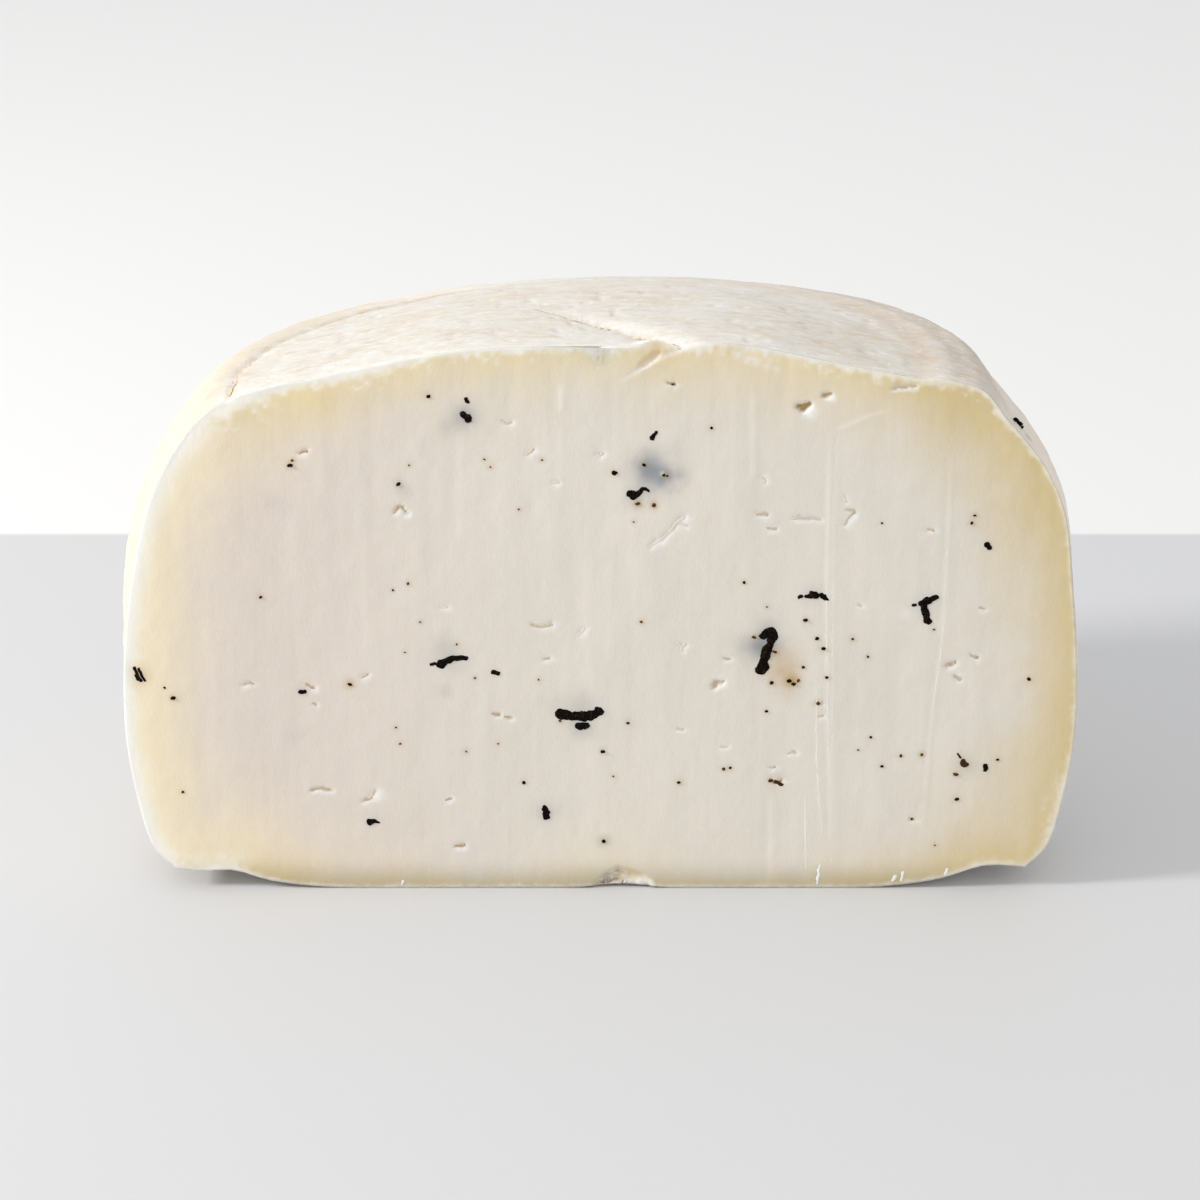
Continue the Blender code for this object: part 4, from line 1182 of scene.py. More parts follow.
# Lip of the fold, whitened with bloom as a painted highlight
FOLD_LIP_HIGHLIGHT = {"centre": 1.2 * MM, "width": 1.0 * MM}
RIDGE_LIP = {"centre": 52.2 * MM, "width": 0.9 * MM}
EDGE_BLOOM_REACH = 3.2 * MM
EDGE_BLOOM_SIZE = 1.4 * MM
PINK_HEIGHT = 55.0 * MM
PINK_HEIGHT_BLEND = 15.0 * MM
PINK_RADIUS = 45.0 * MM
PINK_RADIUS_BLEND = 6.0 * MM
CREAM_START = 25.0 * MM
CREAM_BLEND = 20.0 * MM
WARM_START = 62.0 * MM
WARM_BLEND = 8.0 * MM
WARM_REACH = 12.0 * MM

# Slivers, specks, teeth and lines: their grids, and how proud, deep and rough they are
TEETH_PROUD = 0.08 * MM
SPECK_SHAPE = (5, 8)
SPECK_ROUGH = 0.25
SPECK_TILT = 0.15
SPECK_LOW = (1.05, 0.35, 0.85)
SPECK_HIGH = (1.45, 0.55, 1.2)
RIND_SPECK_SHAPE = (0.6, 0.8, 1.0)
SLIVER_BROWN = 0.55
SLIVER_SIDES = 20
SLIVER_ROWS = 60
SLIVER_FULL = 0.4 * MM
SLIVER_GRAIN = 0.6 * MM
SLIVER_STEP = 0.10 * MM
SLIVER_BURIED = 0.9 * MM
LINE_PROUD = 0.05 * MM
LINE_ROUGH = 0.22 * MM
CRACK_WIDTHS = (0.8, 1.2, 0.6)
BURR_WIDTH = 0.30
BURR_OFF = 0.42
BURR_POINTS = 12
BURR_TAPER = 0.2


def paste_piece(settings):
    """The paste: the cut face as a stretched grid with its relief, closed by a hidden back."""
    foot, shoulder = EDGE_ROWS, EDGE_ROWS + FACE_ROWS
    angle = np.linspace(0.0, math.pi, BACK_COLUMNS + 1)[None, :]
    side = wheel_side(wheel_outline(EDGE_ROWS, FACE_ROWS, EDGE_ROWS, PASTE_BACK_INSET), shoulder, angle)
    rim = wheel_side(wheel_outline(EDGE_ROWS, FACE_ROWS, EDGE_ROWS, PASTE_INSET), shoulder, angle)
    side[:, 0], side[:, -1] = rim[:, 0], rim[:, -1]
    side[0], side[-1] = rim[0, 0], rim[-1, 0]
    rows, columns = side.shape[:2]
    index = np.arange(rows * columns).reshape(rows, columns)
    index[0], index[-1] = index[0, 0], index[-1, 0]

    right, left = index[:, 0], index[:, -1]
    edge_bottom = np.concatenate([left[foot:0:-1], right[: foot + 1]])
    edge_top = np.concatenate([left[shoulder:-1], right[shoulder:][::-1]])
    edges = (edge_bottom, edge_top, left[foot : shoulder + 1], right[foot : shoulder + 1])
    points = side.reshape(-1, 3)
    face = stretched_grid(*(points[edge] for edge in edges))
    inner = face[1:-1, 1:-1]
    face_index = np.empty(face.shape[:2], int)
    face_index[0], face_index[-1], face_index[:, 0], face_index[:, -1] = edges
    face_index[1:-1, 1:-1] = len(points) + np.arange(inner[..., 0].size).reshape(inner.shape[:2])
    points = np.vstack([points, inner.reshape(-1, 3)])

    points, faces = used_only(points, grid_faces(index) + grid_faces(face_index))
    is_face = points[:, 1] < FACE_Y + 0.01 * MM
    depth, marks = face_relief(points, cut_edge_line(OUTLINE_POINTS), settings)
    points[:, 1] = np.where(is_face, np.maximum(points[:, 1] + depth, CAD_BOX[0].y), points[:, 1])
    return make_piece("paste", points, faces, paste_material(settings), marks)


def kept_in_box(points):
    """Points moved inside the solid's box."""
    return np.clip(points, np.array(CAD_BOX[0]), np.array(CAD_BOX[1]))


def grid_normals(points, centre):
    """Unit normals of a grid of points, turned away from the centre."""
    normal = np.cross(np.gradient(points, axis=1), np.gradient(points, axis=0))
    normal[0], normal[-1] = (0.0, 0.0, -1.0), (0.0, 0.0, 1.0)
    normal = normal / np.maximum(np.linalg.norm(normal, axis=-1, keepdims=True), 1e-12)
    return normal * np.where(np.sum(normal * (points - centre), axis=-1, keepdims=True) < 0, -1.0, 1.0)


def rind_relief(points):
    """How far the rind is worn in: fibres along x, grain, slow hollows, pits and two cracks."""
    x, y, z = points[..., 0], points[..., 1], points[..., 2]
    fibre = FIBRE_DEPTH * layered_noise(points, FIBRE_SIZE, SEEDS["fibre"])
    wear = WEAR_DEPTH * layered_noise(points, WEAR_SIZE, SEEDS["wear"], 2)
    hollows = HOLLOW_DEPTH * layered_noise(points, HOLLOW_SIZE, SEEDS["hollows"], 2)
    pit = PIT_DEPTH * ease((soft_noise(points, PIT_SIZE, SEEDS["pits"]) - PIT_START) / PIT_BLEND)
    depth = np.maximum(RIND_WORN + fibre + wear + hollows, 0.0) + pit
    depth = depth * ease(z / RIND_FOOT)
    depth = depth * (RELIEF_AT_CUT + (1.0 - RELIEF_AT_CUT) * ease((y - FACE_Y) / RELIEF_REACH))
    on_top = ease((z - TOP_START) / TOP_BLEND)
    _, off, fade = fold_place(x, y)
    outside, across = crease_place(x, y)
    ragged = CRACK_WANDER * layered_noise(points, CRACK_WANDER_SIZE, SEEDS["ragged"], 2)
    fold = FOLD_CRACK * fade * hump(off + ragged, 0.0, FOLD_CRACK_WIDTH)
    crease = CREASE_CRACK * ease(CREASE_ACROSS - across) * hump(outside + ragged, 0.0, CREASE_CRACK_WIDTH)
    return depth + on_top * (fold + crease)


def rind_marks(points):
    """Shares of tan, bloom, the dome's painted shade, pink, grey, cream and a warm shade on the rind.

    It is tan in its creases and worn patches, and tan under the foot as a painted contact shadow;
    thick with bloom on the wall, the ridge and the cut edge, and white on the fold's lip, a painted
    highlight there; and pinker and darker to the right of the dome, partly its own pink and partly
    painted shade.
    """
    x, y, z = points[..., 0], points[..., 1], points[..., 2]
    true_radius = np.hypot(x, y - AXIS_Y)
    azimuth = np.arctan2(y - AXIS_Y, x)
    on_top = ease((z - TOP_START) / TOP_BLEND)
    right = ease(np.cos(azimuth))
    _, off, fade = fold_place(x, y)
    outside, across = crease_place(x, y)
    ragged = CRACK_WANDER * layered_noise(points, CRACK_WANDER_SIZE, SEEDS["ragged"], 2)
    uneven = np.clip(0.8 + 0.9 * layered_noise(points, UNEVEN_SIZE, SEEDS["uneven"], 2), 0.0, 1.4)
    on_left = ease(CREASE_ACROSS - across)
    left_outer = on_left * ease((outside - OUTER_START) / OUTER_BLEND)
    tan = 0.55 * uneven * on_left * hump(outside + ragged, **CREASE_TAN)
    tan = tan + 0.18 * right * uneven * hump(true_radius, **RIDGE_TAN)
    tan = tan + 0.15 * fade * hump(off + 0.6 * ragged, **FOLD_TAN)
    for at_x, at_y, radius, strength in TAN_PATCHES_MM:
        tan = tan + strength * uneven * hump(np.hypot(x - at_x * MM, y - at_y * MM), 0.0, radius * MM)
    # The fold's lip takes bloom as a painted highlight where the lamp lights its far side
    bloom = 0.4 * fade * hump(off, **FOLD_LIP_HIGHLIGHT) + 0.5 * uneven * right * hump(true_radius, **RIDGE_LIP)
    thinning = 1.0 + 0.6 * layered_noise(points, EDGE_BLOOM_SIZE, SEEDS["cut edge"])
    edge = 0.85 * np.exp(-np.maximum(y - FACE_Y, 0.0) * thinning / EDGE_BLOOM_REACH)
    bloom = bloom + edge * (1.0 - 0.5 * right) + 0.2 * left_outer
    # Pinker and darker to the right of the dome: its own pink and painted shade away from the lamp
    pink = 0.1 * ease((x - SIDE_START) / SIDE_BLEND)
    pink = pink + 1.2 * ease((true_radius - PINK_RADIUS) / PINK_RADIUS_BLEND) * right
    cream = ease((-x - CREAM_START) / CREAM_BLEND)
    beside_cut = np.exp(-(y - FACE_Y) / WARM_REACH)
    grey_x, grey_y, grey_z, grey_width = np.array(RIND_GREY_MM) * MM
    from_grey = np.linalg.norm(points - (grey_x, grey_y, grey_z), axis=-1)
    return {
        # Tan below 1.2 mm of height is a painted contact shadow under the foot
        "tan": on_top * tan + 0.8 * ease(1.2 - z / MM),
        "bloom": on_top * bloom + 0.25 * (1.0 - on_top),
        # The dome's share carries the top's painted shade and its fibres and blotches
        "dome": on_top * (1.0 - 0.7 * left_outer),
        "pink": ease((z - PINK_HEIGHT) / PINK_HEIGHT_BLEND) * pink,
        "grey": 0.6 * hump(from_grey, 0.0, grey_width / 2),
        "cream": cream * np.maximum(0.2 * (1.0 - on_top), left_outer),
        "warm": 0.8 * beside_cut * ease((x - WARM_START) / WARM_BLEND),
    }


def behind_chip(points):
    """Points moved back to the floor of the chip where they stand before it."""
    x, y, z = points[..., 0], points[..., 1], points[..., 2]
    return np.stack([x, np.maximum(y, FACE_Y + CHIP_DEPTH * chip_share(x, z)), z], axis=-1)


def rind_piece(settings):
    """The rind: the wheel's outside as a fine grid with its relief, and a plain inner side."""
    rows_of = (RIND_BASE_ROWS, RIND_WALL_ROWS, RIND_TOP_ROWS)
    shoulder = RIND_BASE_ROWS + RIND_WALL_ROWS
    fine = np.linspace(0.0, math.pi, RIND_COLUMNS + 1)[None, :]
    coarse = np.linspace(0.0, math.pi, RIND_BACK_COLUMNS + 1)[None, :]
    outer = wheel_side(wheel_outline(*rows_of), shoulder, fine)
    marks = rind_marks(outer)
    normal = grid_normals(outer, np.array([0.0, AXIS_Y, TOP_HEIGHT / 2]))
    outer = outer - normal * rind_relief(outer)[..., None]
    outer[:, 0, 1] = outer[:, -1, 1] = FACE_Y
    outer = behind_chip(outer)
    inner = wheel_side(wheel_outline(*rows_of, RIND_INSET), shoulder, coarse)
    rim = wheel_side(wheel_outline(*rows_of, RIND_RIM), shoulder, coarse)
    inner[:, 0], inner[:, -1] = rim[:, 0], rim[:, -1]
    inner = behind_chip(inner)
    inner[:, [0, -1], 1] += RIND_RIM_BACK

    outer_index = np.arange(outer[..., 0].size).reshape(outer.shape[:2])
    inner_index = outer_index.size + np.arange(inner[..., 0].size).reshape(inner.shape[:2])
    for index in (outer_index, inner_index):
        index[0], index[-1] = index[0, 0], index[-1, 0]
    faces = grid_faces(outer_index) + grid_faces(inner_index)
    for side in (0, -1):
        faces += grid_faces(np.stack([outer_index[:, side], inner_index[:, side]], axis=1))
    blank = np.zeros(inner_index.size)
    marks = {name: np.concatenate([values.ravel(), blank]) for name, values in marks.items()}
    points = np.vstack([outer.reshape(-1, 3), inner.reshape(-1, 3)])
    both = np.concatenate([points, np.stack(list(marks.values()), axis=1)], axis=1)
    both, faces = used_only(both, faces)
    marks = dict(zip(marks, both[:, 3:].T))
    return make_piece("rind", kept_in_box(both[:, :3]), faces, rind_material(settings), marks)


def unit_ball(rings, segments):
    """Points and faces of a ball of radius 1, as a grid from pole to pole."""
    up = np.linspace(0.0, math.pi, rings + 1)[:, None]
    turn = np.linspace(0.0, 2 * math.pi, segments, endpoint=False)[None, :]
    height = np.cos(up) + 0.0 * turn
    points = np.stack([np.sin(up) * np.cos(turn), np.sin(up) * np.sin(turn), height], axis=-1)
    index = np.arange(points[..., 0].size).reshape(points.shape[:2])
    index[0], index[-1] = index[0, 0], index[-1, 0]
    return used_only(points.reshape(-1, 3), grid_faces(np.hstack([index, index[:, :1]])))


def lumps(centres, radii, seed):
    """One mesh of many lumps: balls stretched by radii, uneven, and turned about y and x."""
    unit, groups = unit_ball(*SPECK_SHAPE)
    random = np.random.default_rng(seed)
    count = len(centres)
    points = unit[None] * radii[:, None] * (1.0 + SPECK_ROUGH * random.uniform(-1, 1, (count, len(unit), 1)))
    turn, tilt = random.uniform(0, 2 * math.pi, (2, count, 1))
    x, y, z = points[..., 0], points[..., 1], points[..., 2]
    x, z = x * np.cos(turn) + z * np.sin(turn), z * np.cos(turn) - x * np.sin(turn)
    tilt = tilt * SPECK_TILT
    y, z = y * np.cos(tilt) + z * np.sin(tilt), z * np.cos(tilt) - y * np.sin(tilt)
    points = np.stack([x, y, z], axis=-1) + centres[:, None]
    steps = len(unit) * np.arange(count)[:, None, None]
    faces = [(group[None] + steps).reshape(-1, group.shape[1]) for group in groups]
    return points.reshape(-1, 3), faces


def face_at(x, z):
    """The y of the cut face, without its fine relief."""
    return FACE_Y + face_wave(x, z)


def rind_at(x, y):
    """The z of the top rind, with its wear."""
    top_curve = even_line(smooth_curve(TOP_MM, CURVE_STEPS), EDGE_LINE_ROWS[2])[::-1] * MM
    dome = np.interp(np.hypot(x, y - AXIS_Y), top_curve[:, 0], top_curve[:, 1])
    z = dome + ease((dome - TOP_START) / TOP_BLEND) * top_rise(x, y)
    return z - rind_relief(np.stack([x, y, z], axis=-1))


def on_face(x, z, up):
    """A point that stands up by that much from the face at x and z."""
    return np.stack([x, face_at(x, z) - up, z], axis=-1)


def on_rind(x, y, up):
    """A point that stands up by that much from the top rind at x and y."""
    return np.stack([x, y, rind_at(x, y) + up], axis=-1)


def sliver(points_mm, lay, proud, rough, seed):
    """A sliver that lies in a surface: a flattened, uneven tube round a spine of changing width.

    The ends are round: at s from an end that is h wide either side, the half width is h times the
    root of 1 - (1 - s / h) squared.
    """
    spine = smooth_curve(np.array(points_mm) * MM, SLIVER_ROWS)
    for end, inner in ((0, 1), (-1, -2)):
        out = spine[end, :2] - spine[inner, :2]
        out = out / np.linalg.norm(out) * spine[end, 2] / 2
        tip = np.append(spine[end, :2] + out, spine[end, 2])[None]
        spine = np.vstack([tip, spine]) if end == 0 else np.vstack([spine, tip])
    length = np.linalg.norm(np.diff(spine[:, :2], axis=0), axis=1).sum()
    rows = max(int(length / SLIVER_STEP), 8)
    spine = even_line(spine, rows)
    along = np.gradient(spine[:, :2], axis=0)
    along = along / np.linalg.norm(along, axis=1, keepdims=True)
    run = np.linspace(0.0, length, rows + 1)
    first, last = spine[0, 2] / 2, spine[-1, 2] / 2
    caps = np.clip(1.0 - run / first, 0.0, 1.0) ** 2
    caps = caps + np.clip(1.0 - (length - run) / last, 0.0, 1.0) ** 2
    half = spine[:, 2] / 2 * np.sqrt(np.clip(1.0 - caps, 0.0, 1.0))
    turn = np.linspace(0.0, 2 * math.pi, SLIVER_SIDES, endpoint=False)
    sideways = np.stack([along[:, 1], -along[:, 0]], axis=-1)
    flat = spine[:, None, :2] + (half[:, None] * np.cos(turn))[..., None] * sideways[:, None]
    high = np.where(np.sin(turn) > 0, proud, SLIVER_BURIED) * np.sin(turn)
    share = np.minimum(half / SLIVER_FULL, 1.0)[:, None]
    places = np.concatenate([flat, np.zeros_like(flat[..., :1])], axis=-1)
    uneven = [layered_noise(places, SLIVER_GRAIN, seed + step, 2) for step in (0, 5)]
    flat = flat + rough * share[..., None] * np.stack(uneven, axis=-1)
    points = lay(flat[..., 0], flat[..., 1], high[None] * share)
    index = np.arange(points[..., 0].size).reshape(points.shape[:2])
    index[0], index[-1] = index[0, 0], index[-1, 0]
    return used_only(points.reshape(-1, 3), grid_faces(np.hstack([index, index[:, :1]])))


def joined(parts):
    """Several (points, faces) as one."""
    starts = np.cumsum([0] + [len(points) for points, _ in parts])
    faces = [group + start for start, (_, groups) in zip(starts, parts) for group in groups]
    quads = [group for group in faces if group.shape[1] == 4]
    triangles = [group for group in faces if group.shape[1] == 3]
    return np.vstack([points for points, _ in parts]), [np.vstack(quads), np.vstack(triangles)]


def slivers(strokes, lay, proud, rough, seed):
    """One sliver for each stroke, each with its own unevenness."""
    return [sliver(stroke, lay, proud, rough, seed + SEED_STEP * n) for n, stroke in enumerate(strokes)]


def point_values(parts, values):
    """One value for each part, repeated for all of its points."""
    return np.concatenate([np.full(len(points), value) for (points, _), value in zip(parts, values)])


def sliver_piece(finish):
    """All slivers of truffle on the face as one mesh."""
    strokes = [*TRUFFLE_MM.values(), *BROWN_TRUFFLE_MM.values()]
    parts = slivers(strokes, on_face, TRUFFLE_PROUD, TRUFFLE_ROUGH, SEEDS["slivers"])
    points, faces = joined(parts)
    shades = [0.0] * len(TRUFFLE_MM) + [SLIVER_BROWN] * len(BROWN_TRUFFLE_MM)
    marks = {"brown": point_values(parts, shades)}
    return make_piece("truffle_slivers", kept_in_box(points), faces, finish, marks)


def speck_piece(finish):
    """Specks of truffle, black and brown, on the face and in the rind, as one mesh."""
    places = np.array(BLACK_SPECKS_MM + BROWN_SPECKS_MM) * MM
    y = face_at(places[:, 0], places[:, 1])
    centres = np.stack([places[:, 0], y, places[:, 1]], axis=-1)
    random = np.random.default_rng(SEEDS["speck sizes"])
    sizes = 0.5 * places[:, 2:] * random.uniform(SPECK_LOW, SPECK_HIGH, (len(places), 3))
    rind = np.array(RIND_SPECKS_MM) * MM
    centres = np.vstack([centres, rind[:, :3]])
    sizes = np.vstack([sizes, 0.5 * rind[:, 3:] * RIND_SPECK_SHAPE])
    points, faces = lumps(centres, sizes, SEEDS["specks"])
    brown = np.zeros(len(centres))
    brown[len(BLACK_SPECKS_MM) : len(places)] = 1.0
    marks = {"brown": np.repeat(brown, len(points) // len(centres))}
    return make_piece("truffle_specks", kept_in_box(points), faces, finish, marks)


def teeth_piece():
    """White teeth of rind that the knife pulled up from the base."""
    points, faces = joined(slivers(TEETH_MM, on_face, TEETH_PROUD, LINE_ROUGH, SEEDS["teeth"]))
    finish = crumb_material("rind_crumb", *CRUMB_COLOURS)
    return make_piece("rind_teeth", kept_in_box(points), faces, finish)


def line_piece(name, strokes, lay, darkness, finish):
    """Thin lines that lie in the face or the top rind, as one mesh, each with its darkness."""
    parts = slivers(strokes, lay, LINE_PROUD, LINE_ROUGH, SEEDS["lines"])
    points, faces = joined(parts)
    marks = {"dark": point_values(parts, darkness)}
    return make_piece(name, kept_in_box(points), faces, finish, marks)


def face_lines():
    """The fine cracks, whitish to tan and partly painted shade, and the knife's narrow burrs as pale lines
    of painted highlight.
    """
    strokes, darkness = [], []
    # Fine cracks as dark lines, partly painted shade in the slit
    for line_mm, half_width, _, tint in CRACKS_MM:
        if half_width < FINE_CRACK:
            widths = 1.5 * half_width * np.resize(CRACK_WIDTHS, len(line_mm))
            strokes.append([(x, z, width) for (x, z), width in zip(line_mm, widths)])
            darkness.append(tint)
    # Burrs as pale lines, a painted highlight beside the knife's grooves
    for line_mm, _, _, half_width in KNIFE_LINES_MM:
        if half_width <= BURR_WIDTH:
            line = smooth_curve(line_mm, BURR_POINTS)
            along = np.linspace(BURR_TAPER, math.pi - BURR_TAPER, len(line))
            widths = BURR_WIDTH * np.sin(along) ** 0.7
            strokes.append([(x + BURR_OFF, z, width) for (x, z), width in zip(line, widths)])
            darkness.append(0.0)
    finish = line_material("face_line", *FACE_LINE_COLOURS)
    return line_piece("face_lines", strokes, on_face, darkness, finish)


def rind_lines():
    """The thin lines at the bottom of the fold, dark with painted shade, and of the creases."""
    finish = line_material("rind_line", *RIND_LINE_COLOURS)
    darkness = [RIND_LINES_DARK[name] for name in RIND_LINES_MM]
    return line_piece("rind_lines", RIND_LINES_MM.values(), on_rind, darkness, finish)


# Studio


FLOOR_HALF = 9.0
FLOOR_EDGE_Y = 0.127
FLOOR_EDGE_SOFT = 0.001
CAMERA_AT = (-0.00005, -0.52668, 0.22370)
CAMERA_PITCH = 20.0
CAMERA_ANGLE = 20.0
SENSOR = 36.0
KEY_LAMP = {"azimuth": 75.0, "elevation": 26.0, "distance": 1.1, "size": 0.24, "colour": (1.0, 0.985, 0.96)}


def floor_material(settings):
    """A pale floor, a little lighter past a soft line behind the cheese."""
    made, tree, shader = new_material("pale_floor", {"Roughness": 0.55, "Specular IOR Level": 0.3})
    place = add_node(tree, "ShaderNodeTexCoord").outputs["Object"]
    parts = add_node(tree, "ShaderNodeSeparateXYZ", {0: place})
    far = spread(tree, parts.outputs["Y"], FLOOR_EDGE_Y - FLOOR_EDGE_SOFT, FLOOR_EDGE_Y + FLOOR_EDGE_SOFT)
    connect(tree, shader, {"Base Color": mixed(tree, far, settings.floor_colour, settings.backdrop_colour)})
    return made


def make_floor(settings):
    """One flat square, facing up, level with the underside of the cheese."""
    corners = np.array([(-1, -1, 0), (1, -1, 0), (1, 1, 0), (-1, 1, 0)]) * FLOOR_HALF
    mesh = bpy.data.meshes.new("floor")
    mesh.from_pydata(corners.tolist(), [], [(0, 1, 2, 3)])
    mesh.materials.append(floor_material(settings))
    floor = bpy.data.objects.new("floor", mesh)
    bpy.context.scene.collection.objects.link(floor)


def make_world(settings):
    """Even white light from all round."""
    world = bpy.data.worlds.new("studio")
    world.use_nodes = True
    shader = world.node_tree.nodes["Background"]
    shader.inputs["Color"].default_value = (*settings.fill_colour, 1.0)
    shader.inputs["Strength"].default_value = settings.fill_strength
    bpy.context.scene.world = world
    bpy.context.scene.view_settings.view_transform = "Standard"


def make_lamp(name, power, azimuth, elevation, distance, size, colour):
    """A round lamp aimed at the cheese; azimuth 0 is in front and 90 on its left."""
    turn, rise = math.radians(azimuth), math.radians(elevation)
    data = bpy.data.lights.new(name, "AREA")
    data.shape = "DISK"
    data.size = size
    data.energy = power
    data.color = colour
    lamp = bpy.data.objects.new(name, data)
    lamp.location = (
        -distance * math.cos(rise) * math.sin(turn),
        -distance * math.cos(rise) * math.cos(turn),
        distance * math.sin(rise) + TOP_HEIGHT / 2,
    )
    lamp.rotation_euler = (math.pi / 2 - rise, 0.0, -turn)
    bpy.context.scene.collection.objects.link(lamp)


def make_camera():
    """The camera in front of the cut face, looking down on it."""
    data = bpy.data.cameras.new("camera")
    data.sensor_width = SENSOR
    data.lens = SENSOR / 2 / math.tan(math.radians(CAMERA_ANGLE) / 2)
    data.clip_start, data.clip_end = 0.01, 50.0
    camera = bpy.data.objects.new("camera", data)
    camera.location = CAMERA_AT
    camera.rotation_euler = (math.radians(90.0 - CAMERA_PITCH), 0.0, 0.0)
    bpy.context.scene.collection.objects.link(camera)
    bpy.context.scene.camera = camera


# Settings, operators and panel


def colour_property(name, description, default):
    """A colour that a user may change."""
    return bpy.props.FloatVectorProperty(
        name=name, description=description, default=default, size=3, min=0.0, max=1.0, subtype="COLOR"
    )


class PasteSettings(bpy.types.PropertyGroup):
    """Looks of the cut face."""

    relief: bpy.props.FloatProperty(
        name="Relief", description="How strongly marks stand out on the face", default=1.0, min=0.0, max=2.0
    )
    margin_width: bpy.props.FloatProperty(
        name="Margin width", description="Reach of the yellow margin", default=0.0095, min=0.001,
        unit="LENGTH",
    )
    heart_colour: colour_property("Heart", "Colour of the middle of the face", (0.785, 0.738, 0.655))
    heart_cloud_colour: colour_property("Cloud", "Second colour of the middle", (0.812, 0.758, 0.675))
    pink_colour: colour_property("Pink", "Pinker shade of the left", (0.768, 0.688, 0.612))
    margin_colour: colour_property("Margin", "Colour of the margin", (0.945, 0.815, 0.545))
    # Margin in painted shade on the right and below, and darker at the top
    margin_painted_shade_colour: colour_property("Dark margin", "Margin on the right and below", (0.72, 0.58, 0.30))
    rim_colour: colour_property("Rim", "White rim next to the rind", (0.985, 0.945, 0.87))
    # Painted shade along the base
    foot_painted_shade: colour_property("Foot", "Shade along the base", (0.76, 0.775, 0.80))


class RindSettings(bpy.types.PropertyGroup):
    """Looks of the rind."""

    bloom_colour: colour_property("Bloom", "White of the mould", (0.88, 0.86, 0.81))
    worn_colour: colour_property("Worn", "Cream where the bloom is thin", (0.80, 0.72, 0.61))
    # Painted shade over the top
    dome_painted_shade: colour_property("Dome", "Shade over the top", (0.84, 0.845, 0.85))
    # Pink and painted shade on the right of the top
    pink_and_shade_tint: colour_property("Pink", "Shade over the right of the top", (0.885, 0.83, 0.79))
    hair_colour: colour_property("Fibres", "Dark fibres of the top", (0.50, 0.41, 0.34))
    # Tan of the creases, and the painted contact shadow under the foot
    tan_and_shadow_colour: colour_property("Tan", "Tan of the creases", (0.62, 0.47, 0.32))


class TruffleSettings(bpy.types.PropertyGroup):
    """Looks of the truffle."""

    black_colour: colour_property("Black", "Colour of most truffle", (0.004, 0.003, 0.0025))
    dark_brown_colour: colour_property("Dark brown", "Shade where it is thin", (0.038, 0.017, 0.009))
    brown_colour: colour_property("Brown", "Colour of the brown specks", (0.085, 0.042, 0.018))


class StageSettings(bpy.types.PropertyGroup):
    """Light and floor."""

    floor_colour: colour_property("Floor", "Colour of the floor", (0.650, 0.655, 0.670))
    backdrop_colour: colour_property("Backdrop", "Floor past the line", (0.86, 0.86, 0.86))
    fill_colour: colour_property("Fill", "Colour of the even light", (1.0, 1.0, 1.0))
    fill_strength: bpy.props.FloatProperty(
        name="Fill", description="Strength of the even light", default=0.82, min=0.0
    )
    key_power: bpy.props.FloatProperty(
        name="Key", description="Power of the soft lamp on the left", default=8.8, min=0.0, unit="POWER"
    )


class CHEESE_OT_paste(bpy.types.Operator):
    """Make the paste with its cut face"""

    bl_idname = "cheese.paste"
    bl_label = "Paste"

    def execute(self, context):
        paste_piece(context.scene.cheese_paste)
        return {"FINISHED"}


class CHEESE_OT_rind(bpy.types.Operator):
    """Make the rind"""

    bl_idname = "cheese.rind"
    bl_label = "Rind"

    def execute(self, context):
        rind_piece(context.scene.cheese_rind)
        return {"FINISHED"}


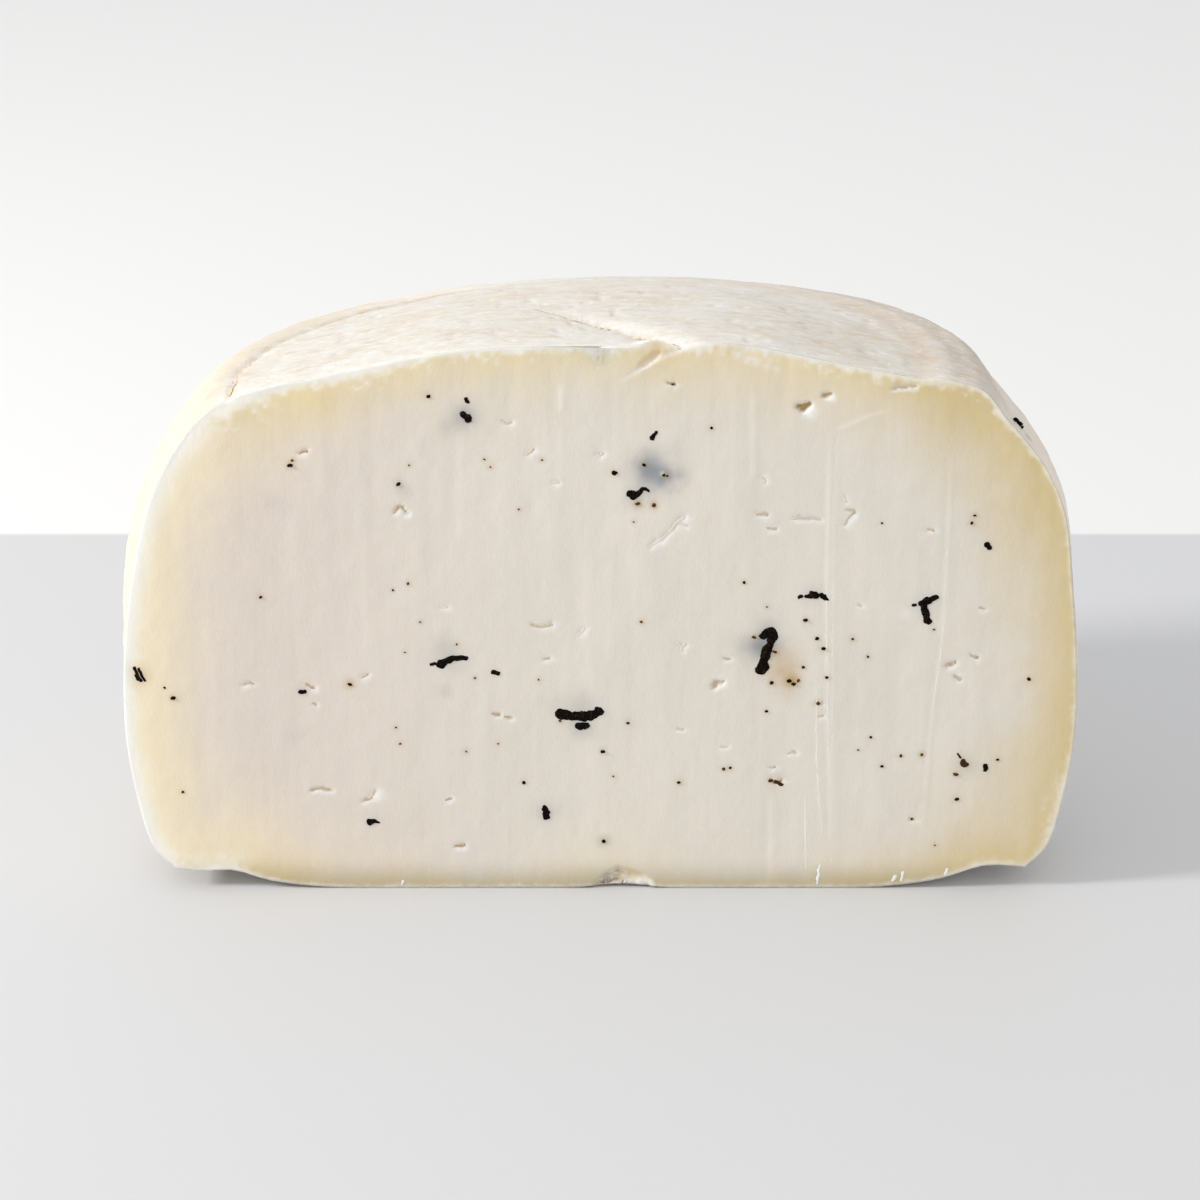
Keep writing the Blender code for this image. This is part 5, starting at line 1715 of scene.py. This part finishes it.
class CHEESE_OT_truffle(bpy.types.Operator):
    """Make the slivers and specks of truffle"""

    bl_idname = "cheese.truffle"
    bl_label = "Truffle"

    def execute(self, context):
        finish = truffle_material(context.scene.cheese_truffle)
        sliver_piece(finish)
        speck_piece(finish)
        return {"FINISHED"}


class CHEESE_OT_lines(bpy.types.Operator):
    """Make the teeth of rind and the thin lines"""

    bl_idname = "cheese.lines"
    bl_label = "Teeth and lines"

    def execute(self, context):
        teeth_piece()
        face_lines()
        rind_lines()
        return {"FINISHED"}


class CHEESE_OT_stage(bpy.types.Operator):
    """Make the floor, the light and the camera"""

    bl_idname = "cheese.stage"
    bl_label = "Stage"

    def execute(self, context):
        settings = context.scene.cheese_stage
        make_floor(settings)
        make_world(settings)
        make_lamp("key", settings.key_power, **KEY_LAMP)
        make_camera()
        return {"FINISHED"}


class CHEESE_PT_panel(bpy.types.Panel):
    """Sizes, colours and one button for each group of pieces"""

    bl_label = "Cut Truffle Cheese"
    bl_space_type = "VIEW_3D"
    bl_region_type = "UI"
    bl_category = "Cheese"

    def draw(self, context):
        for operator, settings in STEPS:
            box = self.layout.box()
            for name in settings.__annotations__ if settings else ():
                box.prop(getattr(context.scene, SETTINGS[settings]), name)
            box.operator(operator.bl_idname)


SETTINGS = {
    PasteSettings: "cheese_paste",
    RindSettings: "cheese_rind",
    TruffleSettings: "cheese_truffle",
    StageSettings: "cheese_stage",
}
STEPS = [
    (CHEESE_OT_stage, StageSettings),
    (CHEESE_OT_paste, PasteSettings),
    (CHEESE_OT_rind, RindSettings),
    (CHEESE_OT_truffle, TruffleSettings),
    (CHEESE_OT_lines, None),
]
CLASSES = [*SETTINGS, *(operator for operator, _ in STEPS), CHEESE_PT_panel]


def register():
    for made in CLASSES:
        bpy.utils.register_class(made)
    for settings, name in SETTINGS.items():
        setattr(bpy.types.Scene, name, bpy.props.PointerProperty(type=settings))


def unregister():
    for name in SETTINGS.values():
        delattr(bpy.types.Scene, name)
    for made in reversed(CLASSES):
        bpy.utils.unregister_class(made)


def main():
    register()
    bpy.ops.cheese.stage()
    bpy.ops.cheese.paste()
    bpy.ops.cheese.rind()
    bpy.ops.cheese.truffle()
    bpy.ops.cheese.lines()


if __name__ == "__main__":
    main()
